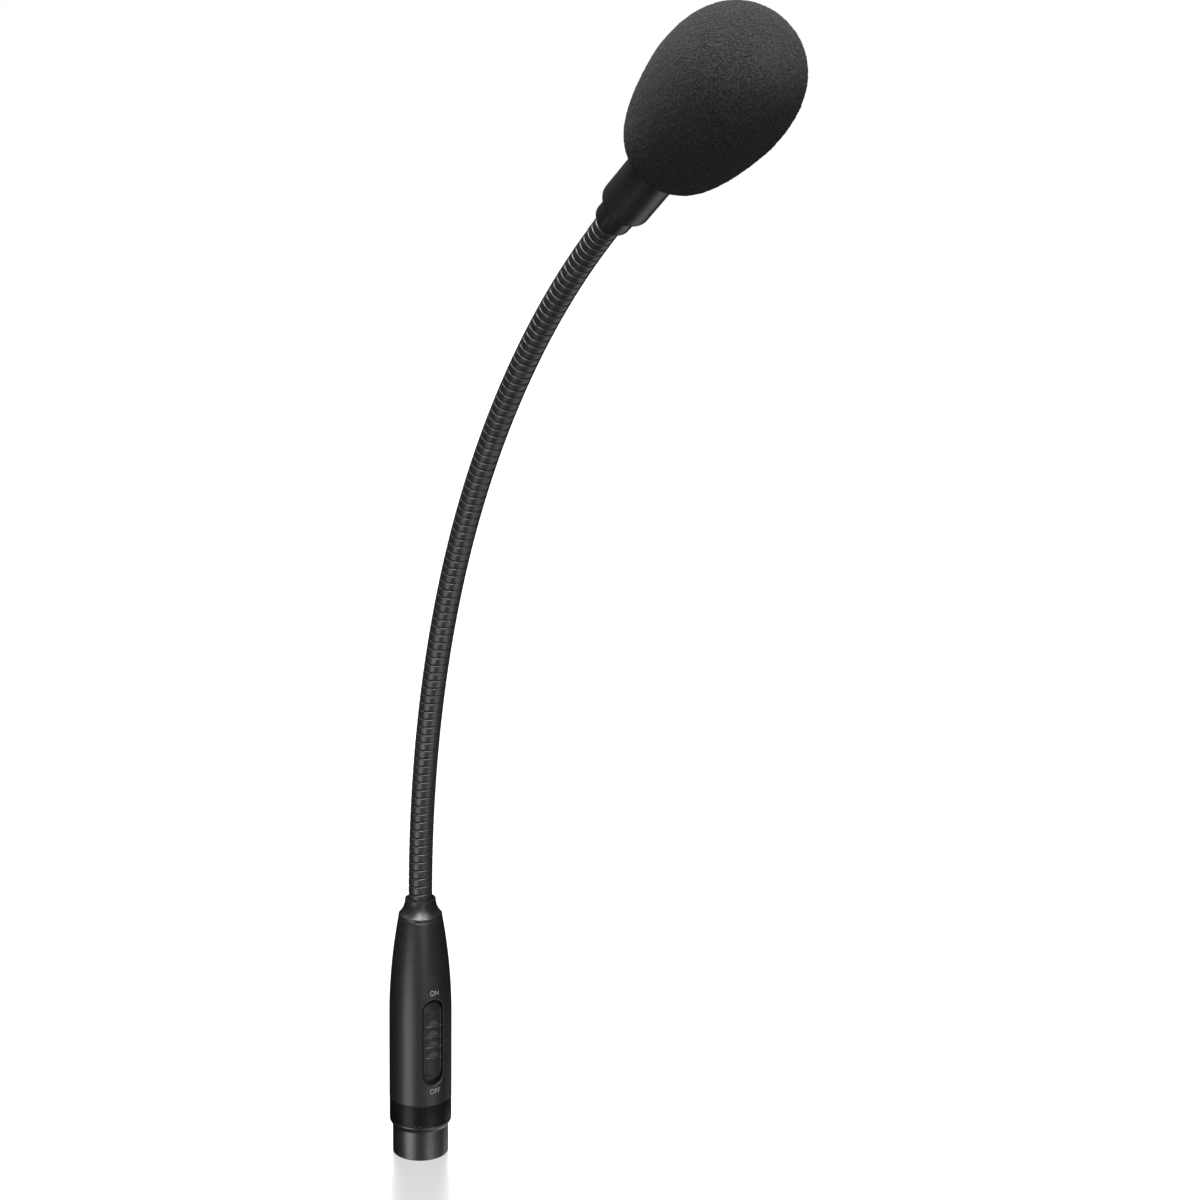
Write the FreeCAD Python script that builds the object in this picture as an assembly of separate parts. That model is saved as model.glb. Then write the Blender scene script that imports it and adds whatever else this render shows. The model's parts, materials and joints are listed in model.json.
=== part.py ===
import FreeCAD, Part
import math
import os

# Gooseneck podium microphone: an XLR plug base with an on-off switch, a stay-put
# flexible neck and an electret capsule under a foam windscreen.
# Millimetres. The origin is the middle of the plug's mouth, +Z runs up the handle,
# the switch faces -Y and the neck leans towards -Y, in the plane X = 0.

V = FreeCAD.Vector

# ---- driving dimensions ----
# XLR plug: a 19 mm shell is the connector standard.
SHELL_R = 9.5
SHELL_BORE_R = 8.2
SHELL_STEP_Z = 10.3
BAND_LOW = 12.5
BAND_R = 10.58
PIN_R = 1.2
PIN_CIRCLE_R = 4.2
PIN_ANGLES = (90.0, 210.0, 330.0)
PIN_TIP_Z = 1.6
INSERT_LOW = 14.5
INSERT_TOP = 24.0

# handle
BARREL_R = 10.63
BARREL_LOW = 20.5
BARREL_TOP = 85.5
TAPER_START = 50.0
TAPER_RADIUS = 201.6
WALL = 1.4
BARREL_BORE_R = 9.2
NOSE_TOP = 92.2
NOSE_RIM_R = 5.2
NOSE_HOLLOW_R = 7.5
NOSE_BORE_R = 4.2

# switch
SLOT_WIDE = 7.7
SLOT_LOW = 27.8
SLOT_TOP = 58.9
KNOB_WIDE = 6.9
KNOB_LOW = 30.4
KNOB_TOP = 57.5
KNOB_R = 10.4
RIB_TOP = 49.8
RIB_PITCH = 3.78
RIB_COUNT = 4
POST_Z = 44.5

# neck: two tangent arcs, the lower one a little tighter
NECK_R = 4.0
NECK_BORE_R = 1.7
TURN_PITCH = 2.954
GROOVE_DEEP = 0.45
GROOVE_WIDE = 0.9
NECK_FOOT_Z = 71.0
ARC_START_Z = 92.7
LOWER_ARC_R = 293.0
LOWER_ARC_LENGTH = 165.0
UPPER_ARC_R = 315.0
NECK_LENGTH = 289.0
HINGE_COUNT = 16
FIRST_HINGE = 9.0
TURNS_PER_LINK = 6
LINK_GAP = 1.0
CABLE_R = 1.25
CABLE_FOOT_Z = 66.5

# head, measured along its own axis from the end of the neck
COLLAR_R = 5.45
COLLAR_LOW = -4.5
HOUSING_LOW = 4.6
HOUSING_TOP = 51.1
HOUSING_R = 7.5
HOUSING_BORE_R = 6.7
GRILLE_TOP = 56.0
CAPSULE_LOW = 38.0
CAPSULE_TOP = 45.0
CAPSULE_R = 5.0
FOAM_LOW = 29.1
FOAM_LENGTH = 62.0
FOAM_R = 20.1
FOAM_WAIST = 0.556
FOAM_BORE_R = 7.75
FOAM_BORE_TOP = 56.6


# ---- small helpers ----
def lathe(points):
    """Turn a closed outline of (radius, height) points about Z.

    A point written as ("arc", middle, end) is a circular stretch from the last point."""
    edges = []
    start = points[0]
    last = start
    for step in points[1:] + [start]:
        if step[0] == "arc":
            middle, end = step[1], step[2]
            arc = Part.Arc(V(last[0], 0, last[1]), V(middle[0], 0, middle[1]), V(end[0], 0, end[1]))
            edges.append(arc.toShape())
            last = end
        else:
            edges.append(Part.LineSegment(V(last[0], 0, last[1]), V(step[0], 0, step[1])).toShape())
            last = step
    face = Part.Face(Part.Wire(edges))
    return face.revolve(V(0, 0, 0), V(0, 0, 1), 360)


def tube(outer, inner, low, top):
    return lathe([(inner, low), (outer, low), (outer, top), (inner, top)])


def box(x0, x1, y0, y1, z0, z1):
    return Part.makeBox(x1 - x0, y1 - y0, z1 - z0, V(x0, y0, z0))


def rod_y(radius, x, y0, y1, z):
    return Part.makeCylinder(radius, y1 - y0, V(x, y0, z), V(0, 1, 0))


def joined(shapes):
    whole = shapes[0]
    if len(shapes) > 1:
        whole = whole.fuse(shapes[1:])
    return whole.removeSplitter()


def oblong(wide, low, top, depth_from, depth_to):
    """A bar along Y with round ends above and below, in front of the handle's axis."""
    half = wide / 2
    corners = [V(-half, depth_from, low + half), V(-half, depth_from, top - half)]
    corners += [V(half, depth_from, top - half), V(half, depth_from, low + half)]
    left = Part.LineSegment(corners[0], corners[1]).toShape()
    cap = Part.Arc(corners[1], V(0, depth_from, top), corners[2]).toShape()
    right = Part.LineSegment(corners[2], corners[3]).toShape()
    foot = Part.Arc(corners[3], V(0, depth_from, low), corners[0]).toShape()
    face = Part.Face(Part.Wire([left, cap, right, foot]))
    return face.extrude(V(0, depth_to - depth_from, 0))


def wire(points, radius):
    """A thin insulated lead along straight runs with round bends."""
    runs = []
    last = points[0]
    for before, corner, after in zip(points, points[1:], points[2:]):
        into = (corner - before).normalize()
        away = (after - corner).normalize()
        turn = into.getAngle(away)
        room = 0.45 * min((corner - before).Length, (after - corner).Length)
        bend = room / math.tan(turn / 2)
        first = corner - into * room
        end = corner + away * room
        inward = (away - into).normalize()
        centre = corner + inward * (bend / math.cos(turn / 2))
        middle = centre - inward * bend
        runs.append(Part.LineSegment(last, first).toShape())
        runs.append(Part.Arc(first, middle, end).toShape())
        last = end
    runs.append(Part.LineSegment(last, points[-1]).toShape())
    heading = (points[1] - points[0]).normalize()
    ring = Part.Wire([Part.Circle(points[0], heading, radius).toShape()])
    return Part.Wire(runs).makePipeShell([ring], True, False)


# ---- the neck's centre line ----
def neck_tilt(s):
    """Lean from the vertical, in radians, at the distance s up the neck."""
    if s <= 0:
        return 0.0
    lower = min(s, LOWER_ARC_LENGTH) / LOWER_ARC_R
    upper = max(s - LOWER_ARC_LENGTH, 0.0) / UPPER_ARC_R
    return lower + upper


def neck_point(s):
    if s <= 0:
        return V(0, 0, ARC_START_Z + s)
    tilt = neck_tilt(min(s, LOWER_ARC_LENGTH))
    forward = LOWER_ARC_R * (1 - math.cos(tilt))
    up = LOWER_ARC_R * math.sin(tilt)
    if s > LOWER_ARC_LENGTH:
        end = neck_tilt(s)
        forward += UPPER_ARC_R * (math.cos(tilt) - math.cos(end))
        up += UPPER_ARC_R * (math.sin(end) - math.sin(tilt))
    return V(0, -forward, ARC_START_Z + up)


def hinge_place(number):
    """Distance up the neck of hinge 1, 2, ..."""
    return FIRST_HINGE + (number - 1) * TURNS_PER_LINK * TURN_PITCH


HEAD_TILT = neck_tilt(NECK_LENGTH)
HEAD_BASE = neck_point(NECK_LENGTH)


def leaning(shape, base, tilt):
    """Stand a shape drawn about Z on a point, leaning towards -Y."""
    moved = shape.copy()
    moved.Placement = FreeCAD.Placement(base, FreeCAD.Rotation(V(1, 0, 0), math.degrees(tilt)))
    return moved


def on_head(shape):
    return leaning(shape, HEAD_BASE, HEAD_TILT)


# ---- XLR plug ----
def pin_centres():
    return [
        V(PIN_CIRCLE_R * math.cos(math.radians(a)), PIN_CIRCLE_R * math.sin(math.radians(a)), 0)
        for a in PIN_ANGLES
    ]


def xlr_shell():
    neck_r = 8.95
    top = 27.0
    body = lathe([
        (SHELL_BORE_R, 0), (SHELL_R, 0), (SHELL_R, SHELL_STEP_Z), (10.43, BAND_LOW - 0.7),
        (10.53, BAND_LOW - 0.5), (10.53, BAND_LOW), (neck_r, BAND_LOW), (neck_r, top), (SHELL_BORE_R, top),
    ])
    key = box(-0.75, 0.75, -SHELL_BORE_R - 0.3, -SHELL_BORE_R + 0.5, 1.0, INSERT_LOW)
    screw_hole = rod_y(1.05, 0, 6.0, 10.0, 18.0)
    return joined([body, key]).cut(screw_hole)


def xlr_insert():
    body = lathe([(0, INSERT_LOW), (8.15, INSERT_LOW), (8.15, INSERT_TOP), (0, INSERT_TOP)])
    for centre in pin_centres():
        body = body.cut(Part.makeCylinder(PIN_R + 0.02, 20, centre + V(0, 0, 10)))
    return body.cut(rod_y(1.0, 0, 6.1, 9.0, 18.0))


def xlr_pins():
    """Contacts with a round tip below and a solder cup above."""
    cup_top = 28.0
    pin = lathe([
        (0, PIN_TIP_Z), ("arc", (PIN_R * 0.7071, PIN_TIP_Z + PIN_R * 0.2929), (PIN_R, PIN_TIP_Z + PIN_R)),
        (PIN_R, cup_top), (0.8, cup_top), (0.8, cup_top - 2.5), (0, cup_top - 2.5),
    ])
    return Part.makeCompound([pin.translated(centre) for centre in pin_centres()])


def insert_screw():
    body = rod_y(0.98, 0, 6.2, 8.9, 18.0)
    return body.cut(box(-1.1, 1.1, 8.4, 9.0, 17.8, 18.2))


def ground_contact():
    """Sheet metal ring on the insert that ties pin 1 to the shell."""
    ring = tube(8.1, 5.9, INSERT_TOP + 0.05, INSERT_TOP + 0.45)
    for centre in pin_centres()[1:]:
        ring = ring.cut(Part.makeCylinder(PIN_R + 0.5, 3, centre + V(0, 0, INSERT_TOP - 1)))
    tab = box(-1.8, 1.8, 4.2, 6.5, INSERT_TOP + 0.05, INSERT_TOP + 0.45)
    hole = Part.makeCylinder(PIN_R + 0.02, 3, pin_centres()[0] + V(0, 0, INSERT_TOP - 1))
    return joined([ring, tab]).cut(hole)


def xlr_leads():
    """Three short wires from the pins' solder cups to pads on the circuit board."""
    ends = [V(2.8, 4.5, 34.2), V(-4.5, 1.55, 34.2), V(4.5, 1.55, 34.2)]
    leads = []
    for centre, end in zip(pin_centres(), ends):
        start = centre + V(0, 0, 25.7)
        rise = centre + V(0, 0, 29.4)
        leads.append(wire([start, rise, end - V(0, 0, 2.4), end], 0.45))
    return Part.makeCompound(leads)


def band_ring():
    top = BARREL_LOW - 0.05
    low = BAND_LOW + 0.05
    ease = 0.15
    return lathe([
        (9.0, low), (BAND_R - ease, low), (BAND_R, low + ease), (BAND_R, top - ease),
        (BAND_R - ease, top), (9.0, top),
    ])


# ---- handle ----
def taper_r(z):
    """Outer radius of the barrel, an arc that starts in line with the cylinder."""
    rise = max(z - TAPER_START, 0.0)
    return BARREL_R - (TAPER_RADIUS - math.sqrt(TAPER_RADIUS ** 2 - rise ** 2))


def handle_barrel():
    shoulder = 76.5
    thread_r = 6.35
    outer_middle = (TAPER_START + BARREL_TOP) / 2
    inner_middle = (TAPER_START + shoulder) / 2
    body = lathe([
        (9.0, BARREL_LOW), (BARREL_R, BARREL_LOW), (BARREL_R, TAPER_START),
        ("arc", (taper_r(outer_middle), outer_middle), (taper_r(BARREL_TOP), BARREL_TOP)),
        (thread_r, BARREL_TOP), (thread_r, shoulder + 1.0), (taper_r(shoulder) - WALL, shoulder),
        ("arc", (taper_r(inner_middle) - WALL, inner_middle), (BARREL_BORE_R, TAPER_START)),
        (BARREL_BORE_R, 27.4), (9.0, 27.2),
    ])
    return body.cut(oblong(SLOT_WIDE, SLOT_LOW, SLOT_TOP, -12.0, -5.0))


def nose_cap():
    low = 78.0
    seat = 80.5
    spigot_r = 6.3
    edge_z = 86.8
    edge_r = NOSE_RIM_R + NOSE_HOLLOW_R - math.sqrt(NOSE_HOLLOW_R ** 2 - (92.0 - edge_z) ** 2)
    mid_z = 89.2
    mid_r = NOSE_RIM_R + NOSE_HOLLOW_R - math.sqrt(NOSE_HOLLOW_R ** 2 - (92.0 - mid_z) ** 2)
    return lathe([
        (5.5, low), (spigot_r, low), (spigot_r, BARREL_TOP + 0.02), (taper_r(BARREL_TOP), BARREL_TOP + 0.02),
        (edge_r + 0.08, edge_z - 0.25), (edge_r, edge_z), ("arc", (mid_r, mid_z), (NOSE_RIM_R, 92.0)),
        (NOSE_RIM_R, NOSE_TOP), (NOSE_BORE_R, NOSE_TOP), (NOSE_BORE_R, seat), (5.5, seat),
    ])


def neck_ferrule():
    return lathe([
        (NECK_R + 0.02, 74.0), (6.1, 74.0), (6.1, 77.9), (5.4, 77.9), (5.4, 80.4), (NECK_R + 0.02, 80.4),
    ])


def hex_nut(across_flats, bore_r, low, top):
    corner = across_flats / 2 / math.cos(math.radians(30))
    ring = [
        V(corner * math.cos(math.radians(60 * k)), corner * math.sin(math.radians(60 * k)), low)
        for k in range(6)
    ]
    body = Part.Face(Part.makePolygon(ring + [ring[0]])).extrude(V(0, 0, top - low))
    return body.cut(Part.makeCylinder(bore_r, top - low + 2, V(0, 0, low - 1)))


# ---- switch and electronics ----
def switch_knob():
    """Curved thumb slide with cross grooves and a boss that takes the actuator."""
    bar = oblong(KNOB_WIDE, KNOB_LOW, KNOB_TOP, -12.0, -5.0)
    cap = bar.common(tube(KNOB_R, 9.3, KNOB_LOW - 2, KNOB_TOP + 2))
    grooves = []
    for k in range(RIB_COUNT):
        z = RIB_TOP - k * RIB_PITCH
        grooves.append(box(-2.5, 2.5, -12.0, -9.9, z - 0.55, z + 0.55))
    cap = cap.cut(Part.makeCompound(grooves))
    boss = box(-1.6, 1.6, -9.8, -6.6, POST_Z - 2.3, POST_Z + 2.3)
    boss = boss.common(tube(9.7, 1.0, POST_Z - 4, POST_Z + 4))
    pocket = box(-1.05, 1.05, -8.4, -6.0, POST_Z - 1.2, POST_Z + 1.2)
    return joined([cap, boss]).cut(pocket)


def switch_actuator():
    block = box(-2.8, 2.8, -3.8, -1.3, 40.5, 48.5)
    post = box(-1.0, 1.0, -8.2, -3.7, POST_Z - 1.15, POST_Z + 1.15)
    return joined([block, post])


def switch_contact():
    """Sprung bridge under the actuator that wipes over the terminals."""
    return box(-2.4, 2.4, -1.25, -0.95, 41.5, 47.5)


def switch_can():
    shell = box(-3.4, 3.4, -4.4, 0.9, 35.0, 53.0)
    room = box(-3.05, 3.05, -4.05, 1.0, 35.35, 52.65)
    window = box(-1.6, 1.6, -4.6, -3.9, POST_Z - 4.1, POST_Z + 1.9)
    return shell.cut(room).cut(window)


def terminal_centres():
    return [(x, z) for x in (-1.7, 1.7) for z in (39.8, 43.6, 47.4)]


def switch_base():
    body = box(-3.0, 3.0, 0.0, 0.9, 35.4, 52.6)
    for x, z in terminal_centres():
        body = body.cut(rod_y(0.42, x, -1, 2, z))
    return body


def switch_terminals():
    return Part.makeCompound([rod_y(0.4, x, -0.85, 4.5, z) for x, z in terminal_centres()])


SCREW_PLACES = (32.2, 57.6)
BOARD_FRONT = 2.2
BOARD_BACK = 3.8


def switch_frame():
    """Curved carrier behind the slot, with two posts that hold the circuit board."""
    arc_low = 27.6
    arc_top = 61.4
    shell = tube(8.65, 8.1, arc_low, arc_top)
    shell = shell.common(box(-6.6, 6.6, -10, -4, arc_low, arc_top))
    window = box(-2.0, 2.0, -10, -5, POST_Z - 5.0, POST_Z + 2.7)
    parts = [shell.cut(window)]
    for z in SCREW_PLACES:
        parts.append(rod_y(1.7, 0, -8.2, BOARD_FRONT - 0.02, z))
    frame = joined(parts)
    for z in SCREW_PLACES:
        frame = frame.cut(rod_y(0.82, 0, -1.4, BOARD_FRONT + 1, z))
    return frame


def frame_screws():
    screws = []
    for z in SCREW_PLACES:
        shank = rod_y(0.8, 0, -1.2, BOARD_BACK + 0.1, z)
        head = rod_y(1.5, 0, BOARD_BACK + 0.02, BOARD_BACK + 1.0, z)
        slot = box(-1.6, 1.6, BOARD_BACK + 0.6, BOARD_BACK + 1.2, z - 0.2, z + 0.2)
        screws.append(joined([shank, head]).cut(slot))
    return Part.makeCompound(screws)


def circuit_board():
    board = box(-7.0, 7.0, BOARD_FRONT, BOARD_BACK, 30.2, 66.0)
    holes = [rod_y(0.5, x, 1, 5, z) for x, z in terminal_centres()]
    holes += [rod_y(0.9, 0, 1, 5, z) for z in SCREW_PLACES]
    return board.cut(Part.makeCompound(holes))


def capacitors():
    places = [(-4.6, 38.0), (4.6, 38.0), (4.6, 50.0)]
    return Part.makeCompound([rod_y(1.9, x, BOARD_BACK + 0.02, 6.4, z) for x, z in places])


def board_chips():
    """The preamplifier chip and four small parts beside it."""
    parts = [box(-2.5, 2.5, BOARD_BACK + 0.02, 5.3, 51.0, 55.0)]
    for x in (-5.4, -3.4, 3.4, 5.4):
        parts.append(box(x - 0.6, x + 0.6, BOARD_BACK + 0.02, 4.4, 61.0, 62.6))
    return Part.makeCompound(parts)


# ---- neck ----
def turned_bar(low, top, turn_from):
    """A wound neck's outline: flat bands with a narrow groove at each turn."""
    outline = [(NECK_BORE_R, low), (NECK_R, low)]
    z = turn_from
    while z < top - GROOVE_WIDE:
        if z > low + GROOVE_WIDE:
            outline.append((NECK_R, z - GROOVE_WIDE / 2))
            outline.append((NECK_R - GROOVE_DEEP, z))
            outline.append((NECK_R, z + GROOVE_WIDE / 2))
        z += TURN_PITCH
    outline += [(NECK_R, top), (NECK_BORE_R, top)]
    return lathe(outline)


def neck_segments():
    """The neck cut at its hinges into short stiff links, foot first."""
    links = {}
    half_gap = LINK_GAP / 2
    foot_top = neck_point(FIRST_HINGE).z - half_gap
    links["neck_segment_00"] = turned_bar(NECK_FOOT_Z, foot_top, foot_top + half_gap - 5 * TURN_PITCH)
    for number in range(1, HINGE_COUNT):
        start = neck_point(hinge_place(number))
        run = neck_point(hinge_place(number + 1)) - start
        tilt = math.atan2(-run.y, run.z)
        bar = turned_bar(half_gap, run.Length - half_gap, 0.0)
        links["neck_segment_%02d" % number] = leaning(bar, start, tilt)
    last = NECK_LENGTH - hinge_place(HINGE_COUNT)
    bar = turned_bar(half_gap - last, 0.0, -last)
    links["neck_segment_%02d" % HINGE_COUNT] = on_head(bar)
    return links


def neck_cable():
    """The screened microphone cable, from the handle up the whole neck into the head."""
    top = 12.0
    joint = neck_point(LOWER_ARC_LENGTH)
    middle_low = neck_point(LOWER_ARC_LENGTH / 2)
    middle_top = neck_point((LOWER_ARC_LENGTH + NECK_LENGTH) / 2)
    axis = V(0, -math.sin(HEAD_TILT), math.cos(HEAD_TILT))
    spine = Part.Wire([
        Part.LineSegment(V(0, 0, CABLE_FOOT_Z), V(0, 0, ARC_START_Z)).toShape(),
        Part.Arc(V(0, 0, ARC_START_Z), middle_low, joint).toShape(),
        Part.Arc(joint, middle_top, HEAD_BASE).toShape(),
        Part.LineSegment(HEAD_BASE, HEAD_BASE + axis * top).toShape(),
    ])
    ring = Part.Wire([Part.Circle(V(0, 0, CABLE_FOOT_Z), V(0, 0, 1), CABLE_R).toShape()])
    return spine.makePipeShell([ring], True, False)


def board_leads():
    """The cable's three cores, down to the circuit board."""
    leads = []
    for x in (-0.6, 0.0, 0.6):
        start = V(x, 0, CABLE_FOOT_Z - 0.2)
        bend = V(x * 2.5, 0.2, 64.5)
        leads.append(wire([start, bend, V(x * 5, BOARD_FRONT - 0.5, 61.8)], 0.28))
    return Part.makeCompound(leads)


# ---- head ----
def head_collar():
    return lathe([
        (4.35, COLLAR_LOW), (COLLAR_R - 0.3, COLLAR_LOW), (COLLAR_R, COLLAR_LOW + 0.3),
        (COLLAR_R, HOUSING_LOW), (5.0, HOUSING_LOW), (5.0, 9.8), (1.6, 9.8), (1.6, 0.4), (4.35, 0.4),
    ])


def collar_nut():
    return hex_nut(11.4, 5.02, 8.05, 9.6)


def capsule_housing():
    ease = 0.4
    body = lathe([
        (5.03, HOUSING_LOW + 0.02), (HOUSING_R - ease, HOUSING_LOW + 0.02), (HOUSING_R, HOUSING_LOW + ease),
        (HOUSING_R, HOUSING_TOP), (HOUSING_BORE_R, HOUSING_TOP), (HOUSING_BORE_R, 8.0), (5.03, 8.0),
    ])
    ports = []
    for k in range(6):
        port = box(-0.8, 0.8, -9.0, -5.0, 31.5, 36.0)
        port.rotate(V(0, 0, 0), V(0, 0, 1), 30 + 60 * k)
        ports.append(port)
    return body.cut(Part.makeCompound(ports))


def head_grille():
    """Domed cap with rings of sound holes and a skirt inside the housing."""
    skin = 0.6
    skirt_r = HOUSING_BORE_R - 0.05
    crown = GRILLE_TOP - HOUSING_TOP - 0.8
    dome_r = (HOUSING_R ** 2 + crown ** 2) / (2 * crown)
    centre = GRILLE_TOP - dome_r
    flat = math.asin(HOUSING_R / dome_r)
    inner = dome_r - skin
    inner_flat = math.asin((HOUSING_R - 1.4) / inner)
    brim = HOUSING_TOP + 0.02

    def on(radius, angle):
        return (radius * math.sin(angle), centre + radius * math.cos(angle))

    cap = lathe([
        (skirt_r - 0.6, 48.6), (skirt_r, 48.6), (skirt_r, brim), (HOUSING_R, brim), on(dome_r, flat),
        ("arc", on(dome_r, flat / 2), (0, GRILLE_TOP)), (0, GRILLE_TOP - skin),
        ("arc", on(inner, inner_flat / 2), on(inner, inner_flat)),
    ])
    holes = [Part.makeCylinder(0.45, 8, V(0, 0, HOUSING_TOP))]
    for ring, count in ((1.6, 6), (3.2, 12), (4.8, 18)):
        for k in range(count):
            turn = 2 * math.pi * k / count
            holes.append(Part.makeCylinder(0.45, 8, V(ring * math.cos(turn), ring * math.sin(turn), HOUSING_TOP)))
    return cap.cut(Part.makeCompound(holes))


def disc_with_holes(radius, low, top, ring_r, count, hole_r):
    body = Part.makeCylinder(radius, top - low, V(0, 0, low))
    holes = []
    for k in range(count):
        turn = 2 * math.pi * k / count
        holes.append(Part.makeCylinder(hole_r, 2, V(ring_r * math.cos(turn), ring_r * math.sin(turn), low - 0.5)))
    return body.cut(Part.makeCompound(holes))


def capsule_can():
    skin = 0.3
    body = lathe([
        (CAPSULE_R - skin - 0.5, CAPSULE_LOW), (CAPSULE_R, CAPSULE_LOW), (CAPSULE_R, CAPSULE_TOP),
        (0, CAPSULE_TOP), (0, CAPSULE_TOP - skin), (CAPSULE_R - skin, CAPSULE_TOP - skin),
        (CAPSULE_R - skin, CAPSULE_LOW + skin), (CAPSULE_R - skin - 0.5, CAPSULE_LOW + skin),
    ])
    for k in range(6):
        turn = math.radians(60 * k)
        spot = V(2.4 * math.cos(turn), 2.4 * math.sin(turn), CAPSULE_TOP - 1)
        body = body.cut(Part.makeCylinder(0.5, 2, spot))
    return body


def capsule_parts():
    """What the can holds, from the diaphragm down to its own little board."""
    room = CAPSULE_R - 0.35
    diaphragm = lathe([
        (0, 44.4), (3.7, 44.4), (3.7, 44.2), (room, 44.2), (room, 44.6), (3.7, 44.6), (3.7, 44.5), (0, 44.5),
    ])
    return {
        "diaphragm": diaphragm,
        "spacer_ring": tube(room, 3.7, 44.02, 44.18),
        "backplate": disc_with_holes(4.2, 43.5, 44.0, 2.5, 4, 0.45),
        "backplate_holder": lathe([
            (4.25, 42.6), (room, 42.6), (room, 44.0), (4.25, 44.0),
        ]),
        "contact_ring": tube(4.1, 3.6, 39.25, 43.45),
        "capsule_board": Part.makeCylinder(room, 0.8, V(0, 0, 38.4)),
        "fet_chip": box(-1.5, 1.5, -0.8, 0.8, 39.22, 40.3),
        "capsule_felt": Part.makeCylinder(4.6, 0.5, V(0, 0, CAPSULE_TOP + 0.02)),
    }


def capsule_holder():
    """Rubber sleeve that holds the capsule clear of the housing."""
    return lathe([
        (CAPSULE_R + 0.02, 37.0), (HOUSING_BORE_R - 0.05, 37.0), (HOUSING_BORE_R - 0.05, 46.5),
        (CAPSULE_R + 0.02, 46.5),
    ])


def head_leads():
    leads = []
    for side in (-1, 1):
        start = V(side * 0.5, 0, 12.05)
        points = [start, V(side * 0.6, 0.3, 18.0), V(side * 2.2, 1.2, 28.0), V(side * 2.0, 0.4, 38.2)]
        leads.append(wire(points, 0.3))
    return Part.makeCompound(leads)


def foam_r(part):
    """Radius of the windscreen at a share of its length: blunt foot, round nose."""
    if part < FOAM_WAIST:
        away = (FOAM_WAIST - part) / FOAM_WAIST
        return FOAM_R * max(1 - away ** 1.2, 0.0) ** (1 / 4.87)
    away = (part - FOAM_WAIST) / (1 - FOAM_WAIST)
    return FOAM_R * max(1 - away ** 2.5, 0.0) ** (1 / 2.8)


def windscreen_foam():
    """Open-cell foam cover with a blind bore that grips the housing."""
    foot_share = 0.006
    shares = [foot_share + (1 - foot_share) * (0.5 - 0.5 * math.cos(math.pi * k / 28)) for k in range(29)]
    skin = [V(foam_r(share), 0, FOAM_LOW + FOAM_LENGTH * share) for share in shares]
    side = Part.BSplineCurve()
    side.interpolate(skin)
    low = FOAM_LOW + FOAM_LENGTH * foot_share
    foot = Part.LineSegment(V(FOAM_BORE_R, 0, low), skin[0]).toShape()
    axis_top = V(0, 0, FOAM_LOW + FOAM_LENGTH)
    core = Part.LineSegment(axis_top, V(0, 0, FOAM_BORE_TOP)).toShape()
    roof = Part.LineSegment(V(0, 0, FOAM_BORE_TOP), V(FOAM_BORE_R, 0, FOAM_BORE_TOP)).toShape()
    bore = Part.LineSegment(V(FOAM_BORE_R, 0, FOAM_BORE_TOP), V(FOAM_BORE_R, 0, low)).toShape()
    face = Part.Face(Part.Wire([foot, side.toShape(), core, roof, bore]))
    return face.revolve(V(0, 0, 0), V(0, 0, 1), 360)


# ---- write every node ----
nodes = {
    "xlr_shell": xlr_shell(),
    "xlr_insert": xlr_insert(),
    "xlr_pins": xlr_pins(),
    "insert_screw": insert_screw(),
    "ground_contact": ground_contact(),
    "xlr_leads": xlr_leads(),
    "band_ring": band_ring(),
    "handle_barrel": handle_barrel(),
    "nose_cap": nose_cap(),
    "neck_ferrule": neck_ferrule(),
    "neck_lock_nut": hex_nut(11.6, NECK_R + 0.03, 71.2, 73.9),
    "circuit_board": circuit_board(),
    "capacitors": capacitors(),
    "board_chips": board_chips(),
    "board_leads": board_leads(),
    "switch_frame": switch_frame(),
    "frame_screws": frame_screws(),
    "switch_can": switch_can(),
    "switch_base": switch_base(),
    "switch_terminals": switch_terminals(),
    "switch_knob": switch_knob(),
    "switch_actuator": switch_actuator(),
    "switch_contact": switch_contact(),
    "neck_cable": neck_cable(),
}
nodes.update(neck_segments())
head = {
    "head_collar": head_collar(),
    "collar_nut": collar_nut(),
    "capsule_housing": capsule_housing(),
    "head_grille": head_grille(),
    "grille_felt": Part.makeCylinder(5.95, 1.0, V(0, 0, 50.3)),
    "capsule_holder": capsule_holder(),
    "capsule_can": capsule_can(),
    "head_leads": head_leads(),
    "windscreen_foam": windscreen_foam(),
}
head.update(capsule_parts())
for name, shape in head.items():
    nodes[name] = on_head(shape)

os.makedirs("parts", exist_ok=True)
for name, shape in nodes.items():
    shape.exportStep("parts/%s.step" % name)
    solids = len(shape.Solids)
    print("%-18s solids %d valid %s volume %.1f" % (name, solids, shape.isValid(), shape.Volume))
print(len(nodes), "nodes; head base", HEAD_BASE, "tilt", round(math.degrees(HEAD_TILT), 2))
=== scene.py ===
"""Looks for a gooseneck podium microphone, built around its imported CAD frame.

Lengths are millimetres, apart from the lights' sizes and distance, which are metres. Every mesh is
scaled to metres as it is made. Angles among the constants at the top are degrees."""
import bmesh
import bpy
import json
import math
import random
from mathutils import Matrix, Vector, noise


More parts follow.
